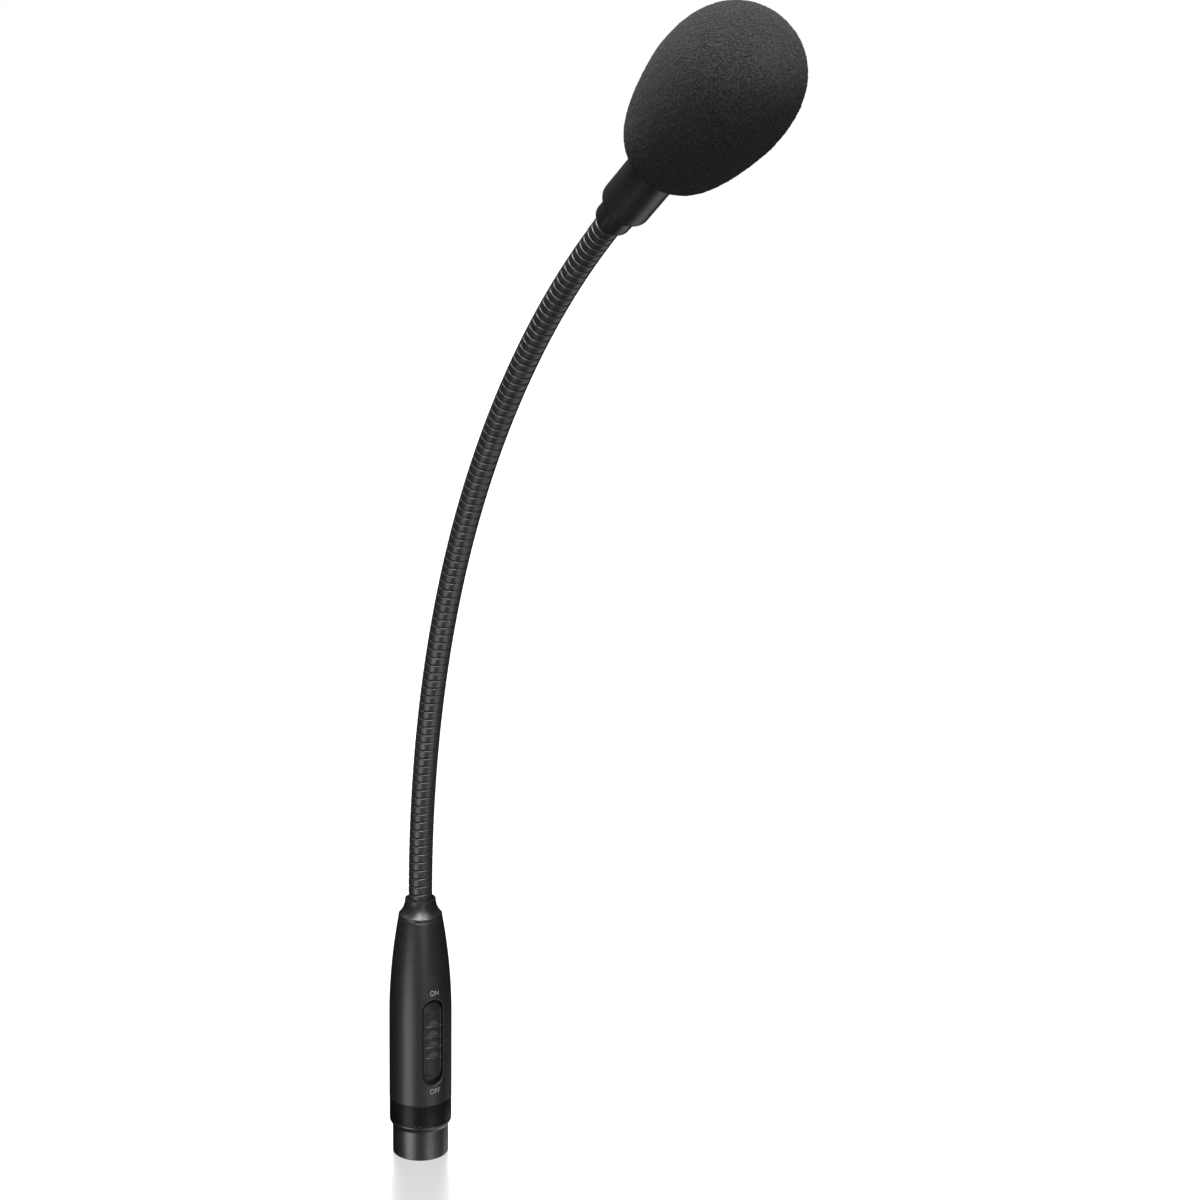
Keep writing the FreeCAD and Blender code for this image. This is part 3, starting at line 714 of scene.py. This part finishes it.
def build_carrier(plastic):
    """The curved plate that shows in the gap round the thumb slide."""
    half_turn = math.asin(CARRIER_HALF / CARRIER_R)
    low = low_mm("switch_frame").z
    top = high_mm("switch_frame").z
    across = 30
    turns = [half_turn * (2 * k / across - 1) for k in range(across + 1)]
    rows = spread(low, CARRIER_WINDOW_LOW, 8) + spread(CARRIER_WINDOW_LOW, CARRIER_WINDOW_TOP, 6)[1:]
    rows += spread(CARRIER_WINDOW_TOP, top, 8)[1:]
    middles = [CARRIER_R * math.sin((turns[k] + turns[k + 1]) / 2) for k in range(across)]
    window = [k for k in range(across) if abs(middles[k]) < CARRIER_WINDOW_HALF]
    points = []
    for radius in (CARRIER_R, CARRIER_INNER_R):
        for z in rows:
            points += [(radius * math.sin(t), -radius * math.cos(t), z) for t in turns]
    wide = across + 1
    back = wide * len(rows)
    solid = set()
    for row in range(len(rows) - 1):
        for k in range(across):
            if not (k in window and CARRIER_WINDOW_LOW <= rows[row] < CARRIER_WINDOW_TOP):
                solid.add((row, k))
    faces = []
    for row, k in sorted(solid):
        a = row * wide + k
        b, c, d = a + 1, a + wide + 1, a + wide
        faces.append((a, b, c, d))
        faces.append((back + a, back + d, back + c, back + b))
        sides = (((row, k - 1), d, a), ((row, k + 1), b, c), ((row - 1, k), a, b), ((row + 1, k), c, d))
        for beside, one, two in sides:
            if beside not in solid:
                faces.append((two, one, back + one, back + two))
    plate = new_mesh("switch_carrier_plate", points, faces, 40.0)
    finish_piece(plate, "handle", "switch_plastic", plastic)


def build_label(word, low, ink):
    """A printed switch word, a thin skin of ink bent round the barrel."""
    curve = bpy.data.curves.new("label_curve", "FONT")
    curve.body = word
    curve.align_x = "CENTER"
    curve.size = 1.0
    curve.offset = -0.008
    curve.extrude = 0.5
    curve.resolution_u = 6
    text = bpy.data.objects.new("label_text", curve)
    bpy.context.scene.collection.objects.link(text)
    bpy.context.view_layer.update()
    flat = bpy.data.meshes.new_from_object(text.evaluated_get(bpy.context.evaluated_depsgraph_get()))
    bpy.data.objects.remove(text)
    low_y = min(v.co.y for v in flat.vertices)
    high_y = max(v.co.y for v in flat.vertices)
    scale = LABEL_TALL / (high_y - low_y)
    points = []
    for vertex in flat.vertices:
        turn = (vertex.co.x * scale * LABEL_NARROW + LABEL_X) / BARREL_R
        z = low + (vertex.co.y - low_y) * scale
        radius = taper_r(z) + (LABEL_SKIN if vertex.co.z > 0 else -LABEL_SKIN)
        points.append((radius * math.sin(turn), -radius * math.cos(turn), z))
    faces = [tuple(face.vertices) for face in flat.polygons]
    bpy.data.meshes.remove(flat)
    label = new_mesh("switch_label_" + word.lower(), points, faces, 20.0)
    finish_piece(label, "handle", "barrel_metal", ink)


# ---- head ----
def build_collar(metal):
    outline = [
        (4.35, -4.5), (COLLAR_R, -4.5), (COLLAR_R, HOUSING_LOW), (5.0, HOUSING_LOW), (5.0, 9.8),
        (1.6, 9.8), (1.6, 0.4), (4.35, 0.4),
    ]
    radii = [0.15, 0.35, 0.18, 0, 0.1, 0, 0, 0]
    collar = lathe("head_collar_sleeve", eased(outline, radii, 5), 120, 40.0, ON_HEAD)
    finish_piece(collar, "head", "collar_metal", metal, "head_collar")


def build_housing(metal):
    """The capsule's tube, with six sound ports under the foam."""
    low = HOUSING_LOW + 0.02
    ease = 0.45
    ring = arc_points((HOUSING_R - ease, low + ease), ease, -90.0, 0.0, 6)
    rows = [z for _, z in ring] + spread(low + ease, 30.2, 24)[1:] + spread(30.2, 37.3, 10)[1:]
    rows += spread(37.3, HOUSING_TOP, 10)[1:]
    bore_low = 8.0

    def outer_r(z):
        if z < low + ease:
            return HOUSING_R - ease + math.sqrt(max(ease ** 2 - (low + ease - z) ** 2, 0.0))
        return HOUSING_R

    def inner_r(z):
        return 5.03 if z < bore_low else 6.7

    ports = [(30.0 + 60 * k, 0.8, 31.5, 36.0, 6) for k in range(6)]
    tube = PiercedTube(168, rows, outer_r, inner_r, ports, 0.12)
    housing = tube.build("capsule_housing_tube", 40.0, ON_HEAD)
    finish_piece(housing, "head", "housing_metal", metal, "capsule_housing")


def build_grille(metal):
    """The domed cap, pierced with rings of sound holes."""
    skin = 0.6
    top = 56.0
    brim = HOUSING_TOP + 0.02
    skirt_r = 6.65
    crown = top - HOUSING_TOP - 0.8
    dome_r = (HOUSING_R ** 2 + crown ** 2) / (2 * crown)
    centre = top - dome_r
    edge = math.degrees(math.asin(HOUSING_R / dome_r))
    inner_edge = math.degrees(math.asin((HOUSING_R - 1.4) / (dome_r - skin)))
    outline = [(skirt_r - 0.6, 48.6), (skirt_r, 48.6), (skirt_r, brim), (HOUSING_R, brim)]
    outline += arc_points((0, centre), dome_r, 90 - edge, 90, 16)
    outline += arc_points((0, centre), dome_r - skin, 90, 90 - inner_edge, 12)
    outline = [(0.0 if r < 1e-6 else r, z) for r, z in outline]
    cap = lathe("head_grille_cap", outline, 144, 40.0)
    drill = bmesh.new()
    spots = [(0.0, 0.0)]
    for ring, count in ((1.6, 6), (3.2, 12), (4.8, 18)):
        turns = [2 * math.pi * k / count for k in range(count)]
        spots += [(ring * math.cos(turn), ring * math.sin(turn)) for turn in turns]
    hole_r = 0.45 * MM
    for x, y in spots:
        place = Matrix.Translation(Vector((x, y, HOUSING_TOP + 4)) * MM)
        bmesh.ops.create_cone(
            drill, cap_ends=True, segments=20, radius1=hole_r, radius2=hole_r, depth=8 * MM, matrix=place,
        )
    drill_mesh = bpy.data.meshes.new("grille_drill")
    drill.to_mesh(drill_mesh)
    drill.free()
    cutter = bpy.data.objects.new("grille_drill", drill_mesh)
    bpy.context.scene.collection.objects.link(cutter)
    cut = cap.modifiers.new("holes", "BOOLEAN")
    cut.object = cutter
    cut.solver = "EXACT"
    bpy.context.view_layer.update()
    pierced = bpy.data.meshes.new_from_object(cap.evaluated_get(bpy.context.evaluated_depsgraph_get()))
    cap.modifiers.clear()
    cap.data = pierced
    bpy.data.objects.remove(cutter)
    pierced.transform(Matrix.Scale(MM, 4) @ ON_HEAD @ Matrix.Scale(1 / MM, 4))
    pierced.shade_smooth()
    pierced.set_sharp_from_angle(angle=math.radians(40))
    pierced.materials.clear()
    finish_piece(cap, "head", "grille_metal", metal, "head_grille")


# ---- windscreen ----
def foam_radius(part):
    """Radius of the windscreen at a share of its length: blunt foot, round nose."""
    if part < FOAM_WAIST:
        away = (FOAM_WAIST - part) / FOAM_WAIST
        swell, root = FOAM_FOOT_BLUNT
    else:
        away = (part - FOAM_WAIST) / (1 - FOAM_WAIST)
        swell, root = FOAM_NOSE_BLUNT
    return FOAM_R * max(1 - away ** swell, 0.0) ** root


def foam_skin():
    """The smooth outer outline from the bore's mouth to the nose, in even steps."""
    fine = [(FOAM_BORE_R, FOAM_LOW + FOAM_MOUTH * FOAM_LENGTH)]
    count = 4000
    for k in range(count + 1):
        part = FOAM_MOUTH + (1 - FOAM_MOUTH) * (0.5 - 0.5 * math.cos(math.pi * k / count))
        radius = foam_radius(part) if k < count else 0.0
        fine.append((radius, FOAM_LOW + FOAM_LENGTH * part))
    even = [fine[0]]
    run = 0.0
    for before, here in zip(fine, fine[1:]):
        run += math.dist(before, here)
        if run >= FOAM_GRAIN_STEP:
            even.append(here)
            run = 0.0
    if even[-1][0] > 0:
        even.append(fine[-1])
    return even


def build_foam(foam):
    """Open-cell foam: a skin of small pits and stubble over a bore that grips the housing."""
    segments = 340
    skin = foam_skin()
    random.seed(7)
    points = []
    rings = []
    for radius, z in skin[:-1]:
        ring = []
        for k in range(segments):
            turn = 2 * math.pi * k / segments
            ring.append(len(points))
            points.append(Vector((radius * math.cos(turn), radius * math.sin(turn), z)))
        rings.append(ring)
    nose = len(points)
    points.append(Vector((0, 0, skin[-1][1])))
    faces = []
    for low, high in zip(rings, rings[1:]):
        for k in range(segments):
            n = (k + 1) % segments
            faces.append((low[k], low[n], high[n], high[k]))
    for k in range(segments):
        faces.append((rings[-1][k], rings[-1][(k + 1) % segments], nose))
    middle_z = FOAM_LOW + FOAM_LENGTH * 0.5
    for index, point in enumerate(points):
        if index < segments:
            continue
        out = Vector((point.x, point.y, 0.45 * (point.z - middle_z))).normalized()
        cells = noise.noise(point * 1.25) + 0.7 * noise.noise(point * 2.6 + Vector((9, 0, 0)))
        stubble = random.gauss(0, 0.055) * min(math.hypot(point.x, point.y) / FOAM_POLE_R, 1.0)
        points[index] = point + out * (0.10 * cells - 0.12 + stubble)
    inside = []
    for z in spread(skin[0][1], FOAM_BORE_TOP, 10)[1:]:
        ring = []
        for k in range(segments):
            turn = 2 * math.pi * k / segments
            ring.append(len(points))
            points.append(Vector((FOAM_BORE_R * math.cos(turn), FOAM_BORE_R * math.sin(turn), z)))
        inside.append(ring)
    before = rings[0]
    for ring in inside:
        for k in range(segments):
            n = (k + 1) % segments
            faces.append((before[k], ring[k], ring[n], before[n]))
        before = ring
    roof = len(points)
    points.append(Vector((0, 0, FOAM_BORE_TOP)))
    for k in range(segments):
        faces.append((before[(k + 1) % segments], before[k], roof))
    cover = new_mesh("windscreen_foam_cover", points, faces, None, ON_HEAD)
    finish_piece(cover, "windscreen", "foam", foam, "windscreen_foam")


# ---- materials ----
def node_tree(name):
    material = bpy.data.materials.new(name)
    material.use_nodes = True
    nodes = material.node_tree.nodes
    return material, nodes, material.node_tree.links, nodes["Principled BSDF"]


def grain(nodes, links, coords, width, detail, roughness=0.6):
    """A noise pattern, the width in millimetres, that keeps its place on the object."""
    pattern = nodes.new("ShaderNodeTexNoise")
    pattern.inputs["Scale"].default_value = 1 / (width * MM)
    pattern.inputs["Detail"].default_value = detail
    pattern.inputs["Roughness"].default_value = roughness
    links.new(coords.outputs["Object"], pattern.inputs["Vector"])
    return pattern.outputs["Fac"]


def ranged(nodes, links, pattern, low, high):
    """The middle of a noise pattern spread over a range of values."""
    span = nodes.new("ShaderNodeMapRange")
    span.inputs["From Min"].default_value = 0.3
    span.inputs["From Max"].default_value = 0.7
    span.inputs["To Min"].default_value = low
    span.inputs["To Max"].default_value = high
    links.new(pattern, span.inputs["Value"])
    return span.outputs["Result"]


def add_relief(nodes, links, shader, height, strength, distance):
    """Bump the shader by a height, the distance in millimetres."""
    relief = nodes.new("ShaderNodeBump")
    relief.inputs["Strength"].default_value = strength
    relief.inputs["Distance"].default_value = distance * MM
    links.new(height, relief.inputs["Height"])
    links.new(relief.outputs["Normal"], shader.inputs["Normal"])


def surface(name, dark, light, rough, size=0.6, bump=0.01, edge_wear_and_highlight=0.0, **sockets):
    """A finish with mottled colour, uneven gloss and fine relief.

    size is the width of a grain and bump its height in millimetres; edge_wear_and_highlight lightens raised
    edges: a little of it is edge wear, and the strong setting on the thumb slide is a painted highlight on
    its groove lips."""
    material, nodes, links, shader = node_tree(name)
    coords = nodes.new("ShaderNodeTexCoord")
    tone = ranged(nodes, links, grain(nodes, links, coords, size * 6, 6.0), 0.0, 1.0)
    ramp = nodes.new("ShaderNodeMix")
    ramp.data_type = "RGBA"
    ramp.inputs["A"].default_value = (*dark, 1)
    ramp.inputs["B"].default_value = (*light, 1)
    links.new(tone, ramp.inputs["Factor"])
    colour = ramp.outputs["Result"]
    # Raised edges lightened in colour: a little is edge wear, a strong setting paints a highlight on the
    # edges.
    if edge_wear_and_highlight > 0:
        shape = nodes.new("ShaderNodeNewGeometry")
        edge = nodes.new("ShaderNodeMapRange")
        edge.inputs["From Min"].default_value = 0.54
        edge.inputs["From Max"].default_value = 0.62
        edge.inputs["To Max"].default_value = edge_wear_and_highlight
        links.new(shape.outputs["Pointiness"], edge.inputs["Value"])
        edge_rub_and_highlight = nodes.new("ShaderNodeMix")
        edge_rub_and_highlight.data_type = "RGBA"
        edge_rub_and_highlight.inputs["B"].default_value = (*[min(c * 5 + 0.03, 1.0) for c in light], 1)
        links.new(colour, edge_rub_and_highlight.inputs["A"])
        links.new(edge.outputs["Result"], edge_rub_and_highlight.inputs["Factor"])
        colour = edge_rub_and_highlight.outputs["Result"]
    links.new(colour, shader.inputs["Base Color"])
    gloss = ranged(nodes, links, grain(nodes, links, coords, size * 3, 4.0), rough - 0.05, rough + 0.05)
    links.new(gloss, shader.inputs["Roughness"])
    add_relief(nodes, links, shader, grain(nodes, links, coords, size, 3.0), 1.0, bump)
    for socket, value in sockets.items():
        shader.inputs[socket.replace("_", " ")].default_value = value
    return material


def foam_surface():
    """Dark open-cell foam: pitted, matt, with a soft fuzz, and painted shade in its pits."""
    material, nodes, links, shader = node_tree("foam_open_cell")
    coords = nodes.new("ShaderNodeTexCoord")
    cells = nodes.new("ShaderNodeTexVoronoi")
    cells.feature = "F1"
    cells.inputs["Scale"].default_value = 1 / (0.5 * MM)
    links.new(coords.outputs["Object"], cells.inputs["Vector"])
    wall = grain(nodes, links, coords, 0.36, 5.0, 0.7)
    depth = nodes.new("ShaderNodeMath")
    depth.operation = "MULTIPLY_ADD"
    depth.inputs[1].default_value = 0.6
    links.new(cells.outputs["Distance"], depth.inputs[0])
    links.new(wall, depth.inputs[2])
    # The colour follows the pit height used for the bump: painted shade, darker the deeper the pit.
    ramp = nodes.new("ShaderNodeValToRGB")
    stops = ramp.color_ramp.elements
    stops[0].position = 0.6
    stops[0].color = (0.001, 0.001, 0.001, 1)
    stops[1].position = 0.95
    stops[1].color = (0.016, 0.0165, 0.0165, 1)
    links.new(depth.outputs["Value"], ramp.inputs["Fac"])
    links.new(ramp.outputs["Color"], shader.inputs["Base Color"])
    add_relief(nodes, links, shader, depth.outputs["Value"], 0.9, 0.34)
    gloss = ranged(nodes, links, grain(nodes, links, coords, 0.4, 2.0), 0.85, 1.0)
    links.new(gloss, shader.inputs["Roughness"])
    shader.inputs["Specular IOR Level"].default_value = 0.12
    shader.inputs["Sheen Weight"].default_value = 0.04
    shader.inputs["Sheen Roughness"].default_value = 0.45
    shader.inputs["Sheen Tint"].default_value = (0.8, 0.82, 0.82, 1)
    return material


def grey(value, warm=0.0):
    return (value * (1 + warm), value, value * (1 - warm))


def make_finishes():
    """One finish for each material slot of the record."""
    return {
        "plug_metal": surface(
            "plug_black_chrome", grey(0.005), grey(0.008), 0.38, size=0.35, bump=0.004, edge_wear_and_highlight=0.15,
            Specular_IOR_Level=0.75,
        ),
        "plug_plastic": surface("plug_insert_black", grey(0.012), grey(0.018), 0.55, size=0.3, bump=0.006),
        "contact_metal": surface(
            "contact_plate", (0.62, 0.57, 0.46), (0.74, 0.69, 0.58), 0.26, size=0.5, bump=0.003,
            Metallic=1.0,
        ),
        "band_gloss": surface(
            "band_gloss_black", grey(0.003), grey(0.005), 0.36, size=0.5, bump=0.002,
            Specular_IOR_Level=0.13,
        ),
        "barrel_metal": surface(
            "barrel_satin_black", grey(0.005), grey(0.008), 0.40, size=0.35, bump=0.005, edge_wear_and_highlight=0.1,
        ),
        "nose_metal": surface(
            "nose_satin_black", grey(0.005), grey(0.008), 0.38, size=0.35, bump=0.005, edge_wear_and_highlight=0.15,
        ),
        "fixing_steel": surface(
            "zinc_steel", grey(0.42), grey(0.56), 0.34, size=0.5, bump=0.006, Metallic=1.0,
        ),
        "brass": surface(
            "turned_brass", (0.62, 0.42, 0.16), (0.78, 0.56, 0.25), 0.28, size=0.6, bump=0.004,
            Metallic=1.0,
        ),
        "board_green": surface(
            "board_green", (0.010, 0.09, 0.035), (0.016, 0.14, 0.055), 0.4, size=0.4, bump=0.006,
        ),
        "component_black": surface("component_black", grey(0.014), grey(0.022), 0.42, size=0.3, bump=0.006),
        "lead_plastic": surface(
            "lead_red", (0.34, 0.022, 0.018), (0.45, 0.035, 0.028), 0.42, size=0.4, bump=0.004,
        ),
        # Strong edge lightening on the thumb slide: a painted highlight on its groove lips and beads.
        "knob_plastic": surface(
            "slide_moulded_black", grey(0.006), grey(0.010), 0.34, size=0.22, bump=0.006, edge_wear_and_highlight=0.8,
            Specular_IOR_Level=0.3,
        ),
        "switch_plastic": surface(
            "switch_moulded_black", grey(0.004), grey(0.008), 0.5, size=0.25, bump=0.008,
        ),
        "neck_metal": surface(
            "neck_wound_black", grey(0.010), grey(0.015), 0.38, size=0.3, bump=0.006, edge_wear_and_highlight=0.25,
        ),
        "cable_jacket": surface("cable_rubber", grey(0.010), grey(0.016), 0.55, size=0.3, bump=0.006),
        "collar_metal": surface(
            "collar_satin_black", grey(0.006), grey(0.009), 0.38, size=0.35, bump=0.005, edge_wear_and_highlight=0.15,
        ),
        "housing_metal": surface(
            "housing_satin_black", grey(0.006), grey(0.009), 0.40, size=0.35, bump=0.005, edge_wear_and_highlight=0.15,
        ),
        "grille_metal": surface(
            "grille_steel", grey(0.24), grey(0.34), 0.36, size=0.4, bump=0.006, Metallic=1.0,
        ),
        "felt": surface("felt_dark", grey(0.02), grey(0.045), 0.95, size=0.25, bump=0.08, Sheen_Weight=0.3),
        "rubber": surface("rubber_black", grey(0.012), grey(0.02), 0.7, size=0.4, bump=0.012),
        "capsule_aluminium": surface(
            "capsule_aluminium", grey(0.66), grey(0.78), 0.3, size=0.4, bump=0.004, Metallic=1.0,
        ),
        "film": surface(
            "film_gold", (0.55, 0.42, 0.2), (0.66, 0.52, 0.28), 0.2, size=0.8, bump=0.003, Metallic=1.0,
        ),
        "foam": foam_surface(),
    }


def finish_hidden_nodes(finishes):
    """Every CAD node gets its slot's finish, for the cut-away parts that the casings cover."""
    for subpart in frame["record"]["subparts"]:
        mesh = NODES[subpart["node"]].data
        mesh.materials.clear()
        mesh.materials.append(finishes[subpart["material_slot"]])


# ---- camera, light and floor ----
def towards(azimuth, elevation):
    """The unit vector from the object towards a place, by its azimuth and elevation in degrees."""
    turn, lift = math.radians(azimuth), math.radians(elevation)
    return Vector((math.sin(turn) * math.cos(lift), -math.cos(turn) * math.cos(lift), math.sin(lift)))


def build_camera():
    turn, roll = math.radians(CAMERA_TURN), math.radians(CAMERA_ROLL)
    back = towards(CAMERA_TURN, CAMERA_LIFT)
    right = Vector((math.cos(turn), math.sin(turn), 0))
    up = back.cross(right)
    lens = bpy.data.cameras.new("camera")
    lens.lens = CAMERA_LENS
    lens.sensor_width = 36.0
    lens.clip_end = 50.0
    camera = bpy.data.objects.new("camera", lens)
    rolled_right = right * math.cos(roll) + up * math.sin(roll)
    rolled_up = up * math.cos(roll) - right * math.sin(roll)
    turned = Matrix((rolled_right, rolled_up, back)).transposed().to_4x4()
    target = Vector(CAMERA_TARGET) * MM
    camera.matrix_world = Matrix.Translation(target + back * CAMERA_AWAY * MM) @ turned
    bpy.context.scene.collection.objects.link(camera)
    bpy.context.scene.camera = camera


def build_lights():
    """Softboxes over, in front and behind, and others below that stand for the table's bounce."""
    for name, (azimuth, elevation, wide, tall, watts) in SOFTBOXES.items():
        back = towards(azimuth, elevation)
        lamp = bpy.data.lights.new(name, "AREA")
        lamp.shape = "RECTANGLE"
        lamp.size = wide
        lamp.size_y = tall
        lamp.energy = watts
        light = bpy.data.objects.new(name, lamp)
        light.location = LIGHT_TARGET + back * LIGHT_AWAY
        light.rotation_euler = back.to_track_quat("Z", "Y").to_euler()
        bpy.context.scene.collection.objects.link(light)


def build_world():
    """White to the camera; to everything else a dim grey in front that fades to black behind."""
    world = bpy.data.worlds.new("studio")
    bpy.context.scene.world = world
    world.use_nodes = True
    nodes = world.node_tree.nodes
    links = world.node_tree.links
    nodes.clear()
    seen = nodes.new("ShaderNodeBackground")
    seen.inputs["Color"].default_value = (1, 1, 1, 1)
    unseen = nodes.new("ShaderNodeBackground")
    coords = nodes.new("ShaderNodeTexCoord")
    facing = nodes.new("ShaderNodeVectorMath")
    facing.operation = "DOT_PRODUCT"
    facing.inputs[1].default_value = towards(CAMERA_TURN, 0)
    links.new(coords.outputs["Generated"], facing.inputs[0])
    fade = nodes.new("ShaderNodeMapRange")
    fade.interpolation_type = "SMOOTHSTEP"
    fade.inputs["From Min"].default_value, fade.inputs["From Max"].default_value = WORLD_FADE
    fade.inputs["To Max"].default_value = WORLD_STRENGTH
    links.new(facing.outputs["Value"], fade.inputs["Value"])
    links.new(fade.outputs["Result"], unseen.inputs["Strength"])
    path = nodes.new("ShaderNodeLightPath")
    mix = nodes.new("ShaderNodeMixShader")
    output = nodes.new("ShaderNodeOutputWorld")
    links.new(path.outputs["Is Camera Ray"], mix.inputs["Fac"])
    links.new(unseen.outputs["Background"], mix.inputs[1])
    links.new(seen.outputs["Background"], mix.inputs[2])
    links.new(mix.outputs["Shader"], output.inputs["Surface"])


def glowing(name, strength):
    """A black finish that gives off an even white."""
    material, _, _, shader = node_tree(name)
    shader.inputs["Base Color"].default_value = (0.0, 0.0, 0.0, 1)
    shader.inputs["Emission Color"].default_value = (1, 1, 1, 1)
    shader.inputs["Emission Strength"].default_value = strength
    return material, shader


def build_floor():
    """A white disc that softly reflects what stands on it, and a card all round for it to reflect."""
    outline = [(0, FLOOR_BOTTOM), (FLOOR_R, FLOOR_BOTTOM), (FLOOR_R, FLOOR_TOP), (0, FLOOR_TOP)]
    floor = lathe("floor", outline)
    material, shader = glowing("floor_white", FLOOR_GLOW)
    shader.inputs["Roughness"].default_value = 0.3
    shader.inputs["IOR"].default_value = 2.2
    floor.data.materials.append(material)
    floor.visible_diffuse = False
    floor.visible_glossy = False
    floor.visible_shadow = False
    outside = CARD_R + CARD_THICK
    outline = [(CARD_R, CARD_LOW), (outside, CARD_LOW), (outside, CARD_TOP), (CARD_R, CARD_TOP)]
    card = lathe("reflection_card", outline)
    material, _ = glowing("card_white", CARD_GLOW)
    card.data.materials.append(material)
    card.visible_camera = False
    card.visible_diffuse = False
    card.visible_shadow = False
    receivers = bpy.data.collections.new("lit_by_the_card")
    receivers.objects.link(floor)
    card.light_linking.receiver_collection = receivers


# ---- put it together ----
bpy.context.scene.view_settings.view_transform = "Standard"
finishes = make_finishes()
finish_hidden_nodes(finishes)
build_plug(finishes["plug_metal"], finishes["plug_plastic"], finishes["contact_metal"])
build_band(finishes["band_gloss"])
build_barrel(finishes["barrel_metal"])
build_nose(finishes["nose_metal"])
build_neck(finishes["neck_metal"], finishes["cable_jacket"])
build_knob(finishes["knob_plastic"])
build_carrier(finishes["switch_plastic"])
ink = surface("label_ink", grey(0.18), grey(0.23), 0.6, size=0.3, bump=0.002)
build_label("ON", ON_LOW, ink)
build_label("OFF", OFF_LOW, ink)
build_collar(finishes["collar_metal"])
build_housing(finishes["housing_metal"])
build_grille(finishes["grille_metal"])
build_foam(finishes["foam"])
build_camera()
build_lights()
build_world()
build_floor()
